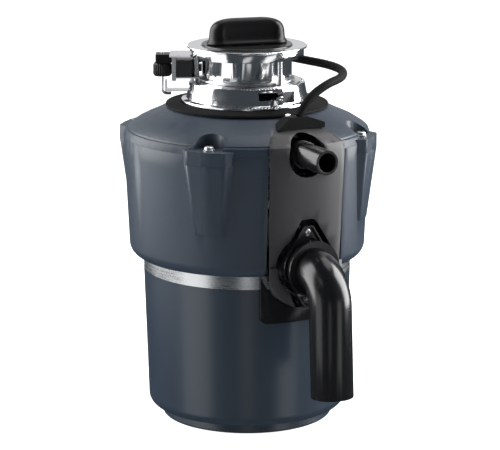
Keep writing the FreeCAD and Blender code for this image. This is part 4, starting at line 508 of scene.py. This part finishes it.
def piece(name, work, body, slot, replaced=(), crease=35):
    """Turn a finished bmesh into a piece that rides on a body."""
    bmesh.ops.recalc_face_normals(work, faces=work.faces)
    mesh = bpy.data.meshes.new(name)
    work.to_mesh(mesh)
    work.free()
    mesh.shade_smooth()
    mesh.set_sharp_from_angle(angle=math.radians(crease))
    made = bpy.data.objects.new(name, mesh)
    bpy.context.scene.collection.objects.link(made)
    mesh.materials.append(finishes[slot])
    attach(made, body)
    if replaced:
        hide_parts(*replaced)
    return made


def screw(work, low, high, shank, head, head_height, place):
    """A flanged screw along Z with a hexagon socket in its domed head."""
    under = high - head_height
    socket = head * 0.42
    profile = [
        (shank, low), (shank, under), (head, under), (head, under + head_height * 0.22),
        (head * 0.80, under + head_height * 0.34), (head * 0.76, under + head_height * 0.80),
        (head * 0.66, under + head_height * 0.95), (head * 0.55, high)]
    rings = [circle_ring(radius, height) for radius, height in profile]
    rings.append(circle_ring(socket, high, corners=6))
    rings.append(circle_ring(socket, under + head_height * 0.35, corners=6))
    skin(work, rings, place=place)


# ---------------------------------------------------------------- operators


class PieceOperator:
    """What every operator of this add-on shares."""

    bl_options = {"REGISTER"}

    @property
    def sizes(self):
        return bpy.context.scene.disposal_sizes

    @property
    def colours(self):
        return bpy.context.scene.disposal_colours


class DISPOSAL_OT_stage(PieceOperator, bpy.types.Operator):
    """Pale floor, soft studio lights and the camera."""

    bl_idname = "disposal.stage"
    bl_label = "Stage"

    def execute(self, context):
        self.floor()
        self.lights()
        self.camera()
        return {"FINISHED"}

    def floor(self):
        mesh = bpy.data.meshes.new("floor")
        work = bmesh.new()
        bmesh.ops.create_circle(work, cap_ends=True, segments=96, radius=FLOOR_RADIUS)
        work.to_mesh(mesh)
        work.free()
        floor = bpy.data.objects.new("floor", mesh)
        floor.location.z = cad_box[0].z
        bpy.context.scene.collection.objects.link(floor)
        shader = Shader("floor_paper")
        fibre = shader.noise(3.0, 5.0)
        mesh.materials.append(shader.surface({
            "Base Color": shader.shades(fibre, self.colours.floor, 0.99, 1.01),
            "Roughness": 0.75 + (fibre - 0.5) * 0.05,
            "Emission Color": (1, 1, 1, 1),
            "Emission Strength": 0.95,
        }))
        # The chrome mirrors the lights and the dim room, not a bright floor.
        floor.visible_glossy = False

    def lights(self):
        """Soft boxes on both sides, one overhead, a card behind and slim strips for the chrome."""
        # Bearings are in degrees from the camera, lengths in metres and powers in watts.
        for name, bearing, lift, distance, width, tall, power in (
                ("left_box", -100, 0.70, 1.25, 1.4, 1.7, 46.0),
                ("right_box", 98, 0.65, 1.20, 0.9, 1.5, 46.0),
                ("top_box", 150, 1.9, 0.6, 1.6, 1.2, 14.0),
                ("back_card", 180, 1.0, 2.0, 2.6, 1.3, 6.5),
                ("left_strip", -58, -0.10, 1.30, 0.80, 0.9, 3.0),
                ("front_strip", 0, -0.10, 1.40, 0.30, 0.8, 0.45),
                ("right_strip", 46, -0.10, 1.30, 0.46, 0.9, 1.6),
                ("front_fill", -40, 1.6, 1.9, 0.6, 0.5, 1.0)):
            light = bpy.data.lights.new(name, "AREA")
            light.shape = "RECTANGLE"
            light.size = width
            light.size_y = tall
            light.energy = power
            lamp = bpy.data.objects.new(name, light)
            angle = self.sizes.azimuth + math.radians(bearing)
            lamp.location = (distance * math.sin(angle), -distance * math.cos(angle), lift)
            aim = Vector((0, 0, self.sizes.aim)) - lamp.location
            lamp.rotation_euler = aim.to_track_quat("-Z", "Y").to_euler()
            lamp.visible_camera = False
            bpy.context.scene.collection.objects.link(lamp)
        world = bpy.data.worlds.new("studio")
        world.use_nodes = True
        back = world.node_tree.nodes["Background"]
        back.inputs["Color"].default_value = (0.72, 0.86, 1.0, 1)
        back.inputs["Strength"].default_value = 0.065
        bpy.context.scene.world = world
        bpy.context.scene.view_settings.view_transform = "Standard"

    def camera(self):
        sizes = self.sizes
        lens = bpy.data.cameras.new("camera")
        lens.lens = sizes.lens
        lens.shift_x = sizes.shift
        lens.clip_end = 100
        camera = bpy.data.objects.new("camera", lens)
        back = Vector((math.sin(sizes.azimuth) * math.cos(sizes.elevation),
                       -math.cos(sizes.azimuth) * math.cos(sizes.elevation), math.sin(sizes.elevation)))
        camera.location = Vector((0, 0, sizes.aim)) + back * sizes.distance
        camera.rotation_euler = (-back).to_track_quat("-Z", "Y").to_euler()
        bpy.context.scene.collection.objects.link(camera)
        bpy.context.scene.camera = camera


class DISPOSAL_OT_shell(PieceOperator, bpy.types.Operator):
    """Outer shells: jacket, dome, can, base, trim band, panel and apron."""

    bl_idname = "disposal.shell"
    bl_label = "Shell"

    def execute(self, context):
        dress("jacket", "dome_cover", "trim_panel", "apron", edge=self.sizes.edge)
        dress("lower_can", "base_cap", "trim_band", "base_screws")
        self.bolts()
        return {"FINISHED"}

    def bolts(self):
        work = bmesh.new()
        for low, high in clusters("housing_bolts", JACKET_BOLT_SPREAD):
            middle = (low + high) / 2
            place = Matrix.Translation((middle.x, middle.y, 0))
            head = (high.x - low.x) / 2
            screw(work, low.z, high.z, head * 0.45, head, JACKET_BOLT_HEAD, place)
        piece("jacket_bolts", work, "housing", "steel", ["housing_bolts"])


class DISPOSAL_OT_sink_mount(PieceOperator, bpy.types.Operator):
    """Chrome sink mount with its rings, screws and rubber cushion."""

    bl_idname = "disposal.sink_mount"
    bl_label = "Sink mount"

    def execute(self, context):
        dress("sink_flange", "backup_flange", "mounting_ring", "lock_ring", edge=0.3 * MM)
        dress("mount_screws", "snap_ring", "flange_gasket", "throat_gasket", "cushion_mount")
        self.ribs()
        return {"FINISHED"}

    def ribs(self):
        """Concentric ridges and fine spokes moulded on top of the cushion."""
        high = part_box("cushion_mount")[1]
        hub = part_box("lock_ring")[0].z
        inset, sink, overlap, depth = 0.3 * MM, 0.25 * MM, 0.9 * MM, 1.0 * MM
        inner = 61.6 * MM
        rim = high.x - inset
        top = high.z - sink
        fall = top - (hub - overlap)
        steps, ridges, spokes = 48, 5, 150
        ridge_rise, spoke_rise, level = 0.60, 0.22, 0.15
        count = spokes * 5
        work = bmesh.new()
        rings = []
        for step in range(steps + 1):
            share = step / steps
            radius = inner + (rim - inner) * share
            ridge = 0.5 + 0.5 * math.cos(share * ridges * 2 * math.pi)
            ring = circle_ring(radius, top - fall * share, count)
            for k, point in enumerate(ring):
                spoke = max(0.0, math.cos(2 * math.pi * spokes * k / count))
                point.z += (ridge_rise * ridge + spoke_rise * spoke * (1 - ridge) - level) * MM
            rings.append(ring)
        rings.append(circle_ring(rim, top - fall - depth, count))
        rings.append(circle_ring(inner, top - depth, count))
        skin(work, rings, ends=False)
        piece("cushion_ribs", work, "housing", "rubber")


class DISPOSAL_OT_cover(PieceOperator, bpy.types.Operator):
    """Plug cover with its seal, magnets and grip."""

    bl_idname = "disposal.cover"
    bl_label = "Cover"

    def execute(self, context):
        dress("cover_plug", edge=self.sizes.edge)
        dress("cover_magnets", "cover_seal")
        self.grip()
        return {"FINISHED"}

    def grip(self):
        """Bar with a flared foot, hollowed flanks and a crowned top."""
        low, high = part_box("cover_grip")
        turn, half_length, half_width = heading("cover_grip")
        tall = high.z - low.z
        rings = []
        # Each ring's share of the height, length, width and draw of the waist.
        for rise, length, width, waist in (
                (0.00, 1.000, 1.00, 0.00), (0.03, 1.000, 1.00, 0.00), (0.10, 0.985, 0.96, 0.00),
                (0.15, 0.950, 0.84, 0.04), (0.24, 0.935, 0.78, 0.10), (0.42, 0.930, 0.74, 0.16),
                (0.60, 0.915, 0.70, 0.14), (0.74, 0.875, 0.64, 0.08), (0.85, 0.800, 0.56, 0.02),
                (0.93, 0.690, 0.46, 0.00), (0.98, 0.540, 0.34, 0.00), (1.00, 0.360, 0.20, 0.00)):
            rings.append(stadium_ring(half_length * length, half_width * width, low.z + tall * rise, waist))
        work = bmesh.new()
        skin(work, rings, place=Matrix.Rotation(turn, 4, "Z"))
        grip = piece("grip_bar", work, "cover", "black_matte", ["cover_grip"], crease=60)
        rounding = grip.modifiers.new("rounding", "SUBSURF")
        rounding.levels = rounding.render_levels = 1


class DISPOSAL_OT_switch(PieceOperator, bpy.types.Operator):
    """Cover switch with its bracket, guide block, thumb nut and hook bolt."""

    bl_idname = "disposal.switch"
    bl_label = "Cover switch"

    def execute(self, context):
        dress("cover_switch", "switch_bracket", "guide_block", edge=0.3 * MM)
        dress("hook_bolt")
        self.knob()
        return {"FINISHED"}

    def knob(self):
        """Fluted thumb nut on the hook bolt."""
        low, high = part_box("thumb_nut")
        middle = (low + high) / 2
        radius = (high.x - low.x) / 2
        bore = 2.3 * MM
        flutes = 26
        count = flutes * 10
        tall = high.z - low.z
        rings = []
        # Each ring's share of the height and radius, and the depth of its flutes.
        for share, reach, depth in (
                (0.00, 0.62, 0.0), (0.00, 0.86, 0.0), (0.10, 0.95, 0.02), (0.16, 1.00, 0.07),
                (0.80, 1.00, 0.07), (0.88, 0.95, 0.03), (1.00, 0.84, 0.0), (1.00, 0.60, 0.0),
                (0.90, 0.54, 0.0), (0.90, 0.36, 0.0)):
            ring = circle_ring(radius * reach, low.z + tall * share, count)
            for k, point in enumerate(ring):
                dip = 1 - depth * (0.5 + 0.5 * math.cos(2 * math.pi * flutes * k / count))
                point.x *= dip
                point.y *= dip
            rings.append(ring)
        rings.append(circle_ring(bore, low.z + tall * 0.9, count))
        rings.append(circle_ring(bore, low.z, count))
        work = bmesh.new()
        skin(work, rings, ends=False, place=Matrix.Translation((middle.x, middle.y, 0)))
        piece("thumb_knob", work, "clamp_nut", "black_matte", ["thumb_nut"])


# Control points from the switch to the boot, in millimetres.
CABLE_ROUTE = (
    (-41.7, 36.3, 326.0), (-33.6, 51.2, 326.0), (-18.3, 62.5, 326.5), (1.2, 66.8, 327.0),
    (21.3, 62.5, 327.5), (38.5, 50.0, 328.0), (50.5, 32.5, 328.3), (56.8, 12.5, 328.2),
    (61.8, -5.5, 327.6), (69.5, -22.5, 326.5), (72.3, -42.0, 325.2), (66.7, -61.4, 324.0),
    (54.2, -76.5, 322.2), (36.6, -84.2, 320.0), (20.8, -86.4, 312.6), (10.6, -87.4, 303.6),
    (4.4, -88.0, 293.8))


class DISPOSAL_OT_cable(PieceOperator, bpy.types.Operator):
    """Rubber cable from the cover switch to the boot on the dome."""

    bl_idname = "disposal.cable"
    bl_label = "Switch cable"

    def execute(self, context):
        curve = bpy.data.curves.new("switch_lead", "CURVE")
        curve.dimensions = "3D"
        curve.bevel_depth = CABLE_RADIUS
        curve.bevel_resolution = 6
        curve.resolution_u = 10
        curve.use_fill_caps = True
        spline = curve.splines.new("NURBS")
        spline.points.add(len(CABLE_ROUTE) - 1)
        for point, place in zip(spline.points, CABLE_ROUTE):
            point.co = (place[0] * MM, place[1] * MM, place[2] * MM, 1)
        spline.order_u = 3
        spline.use_endpoint_u = True
        spline.use_smooth = True
        lead = bpy.data.objects.new("switch_lead", curve)
        bpy.context.scene.collection.objects.link(lead)
        curve.materials.append(finishes["rubber"])
        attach(lead, "housing")
        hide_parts("switch_cable")
        dress("cable_boot", edge=self.sizes.edge)
        dress("boot_screw")
        return {"FINISHED"}


class DISPOSAL_OT_plumbing(PieceOperator, bpy.types.Operator):
    """Dishwasher inlet, drain flange and bent discharge pipe."""

    bl_idname = "disposal.plumbing"
    bl_label = "Plumbing"

    def execute(self, context):
        dress("dishwasher_inlet", "discharge_elbow", "elbow_collar", "drain_flange", edge=0.4 * MM)
        dress("inlet_plug", "drain_gasket")
        self.bolts()
        self.inlet_rings()
        self.bead()
        return {"FINISHED"}

    def bead(self):
        """Bare metal edge that shows under the elbow's rim, inside the panel's mouth."""
        low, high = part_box("elbow_collar")
        middle = (low.z + high.z) / 2
        setback, reach, wire = 3.2 * MM, 27.4 * MM, 0.9 * MM
        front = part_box("trim_panel")[0].y + setback
        start, sweep, steps, facets, taper = 212, 66, 24, 10, 0.8
        turns = [2 * math.pi * k / facets for k in range(facets)]
        along = Vector((0, 1, 0))
        work = bmesh.new()
        rings = []
        for step in range(steps + 1):
            angle = math.radians(start + sweep * step / steps)
            out = Vector((math.cos(angle), 0, math.sin(angle)))
            spot = Vector((0, front, middle)) + out * reach
            slim = math.sin(math.pi * (step + taper) / (steps + 2 * taper)) ** 0.5
            rings.append([spot + (out * math.cos(turn) + along * math.sin(turn)) * wire * slim
                          for turn in turns])
        skin(work, rings)
        piece("mouth_bead", work, "housing", "steel")

    def bolts(self):
        work = bmesh.new()
        for low, high in clusters("drain_bolts", FLANGE_BOLT_SPREAD):
            middle = (low + high) / 2
            place = Matrix.Translation((middle.x, 0, middle.z)) @ Matrix.Rotation(math.radians(90), 4, "X")
            head = (high.x - low.x) / 2
            screw(work, -high.y, -low.y, head * 0.5, head, FLANGE_BOLT_HEAD, place)
        piece("flange_bolts", work, "housing", "steel", ["drain_bolts"])

    def inlet_rings(self):
        """Sealing ridges round the root of the dishwasher inlet."""
        low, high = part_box("dishwasher_inlet")
        radius = (high.z - low.z) / 2
        place = Matrix.Translation((0, 0, (low.z + high.z) / 2)) @ Matrix.Rotation(math.radians(90), 4, "X")
        pitch, wire, setback = 1.9 * MM, 0.45 * MM, 44 * MM
        ridges, facets, count = 4, 12, 72
        first = -low.y - setback
        work = bmesh.new()
        for k in range(ridges):
            rings = []
            for step in range(facets):
                angle = 2 * math.pi * step / facets
                rings.append(circle_ring(radius + wire * math.cos(angle),
                                         first + pitch * k + wire * math.sin(angle), count))
            skin(work, rings, ends=False, place=place)
        piece("inlet_ridges", work, "housing", "black_plastic")


class DISPOSAL_OT_grinding(PieceOperator, bpy.types.Operator):
    """Grind chamber, shredder ring, turntable and impellers."""

    bl_idname = "disposal.grinding"
    bl_label = "Grinding parts"

    def execute(self, context):
        dress("grind_chamber", "shredder_ring", "turntable", "impeller_pins", "impeller_1",
              "impeller_2", "hub_nut", "upper_end_bell", "shaft_seal")
        return {"FINISHED"}


class DISPOSAL_OT_motor(PieceOperator, bpy.types.Operator):
    """Motor, its electrical parts and the sound insulation."""

    bl_idname = "disposal.motor"
    bl_label = "Motor"

    def execute(self, context):
        dress("rotor_shaft", "rotor_core", "stator_core", "stator_windings", "motor_frame",
              "lower_end_bell", "bearings", "through_bolts", "capacitor", "start_relay",
              "overload_protector", "reset_button", "reset_spring", "sound_insulation")
        return {"FINISHED"}


class DISPOSAL_PT_panel(bpy.types.Panel):
    """Lists the steps in the sidebar."""

    bl_label = "Garbage disposal"
    bl_idname = "DISPOSAL_PT_panel"
    bl_space_type = "VIEW_3D"
    bl_region_type = "UI"
    bl_category = "Disposal"

    def draw(self, context):
        for step in STEPS:
            self.layout.operator(step.bl_idname)
        for group in (context.scene.disposal_sizes, context.scene.disposal_colours):
            for name in group.__annotations__:
                self.layout.prop(group, name)


STEPS = (DISPOSAL_OT_stage, DISPOSAL_OT_cable, DISPOSAL_OT_shell, DISPOSAL_OT_sink_mount,
         DISPOSAL_OT_cover, DISPOSAL_OT_switch, DISPOSAL_OT_plumbing, DISPOSAL_OT_grinding,
         DISPOSAL_OT_motor)
CLASSES = (DisposalColours, DisposalSizes, *STEPS, DISPOSAL_PT_panel)


def register():
    for item in CLASSES:
        bpy.utils.register_class(item)
    bpy.types.Scene.disposal_colours = bpy.props.PointerProperty(type=DisposalColours)
    bpy.types.Scene.disposal_sizes = bpy.props.PointerProperty(type=DisposalSizes)


def unregister():
    del bpy.types.Scene.disposal_sizes
    del bpy.types.Scene.disposal_colours
    for item in reversed(CLASSES):
        bpy.utils.unregister_class(item)


def main():
    register()
    finishes.update(make_finishes(bpy.context.scene.disposal_colours))
    for step in STEPS:
        group, name = step.bl_idname.split(".")
        getattr(getattr(bpy.ops, group), name)()


if __name__ == "__main__":
    main()
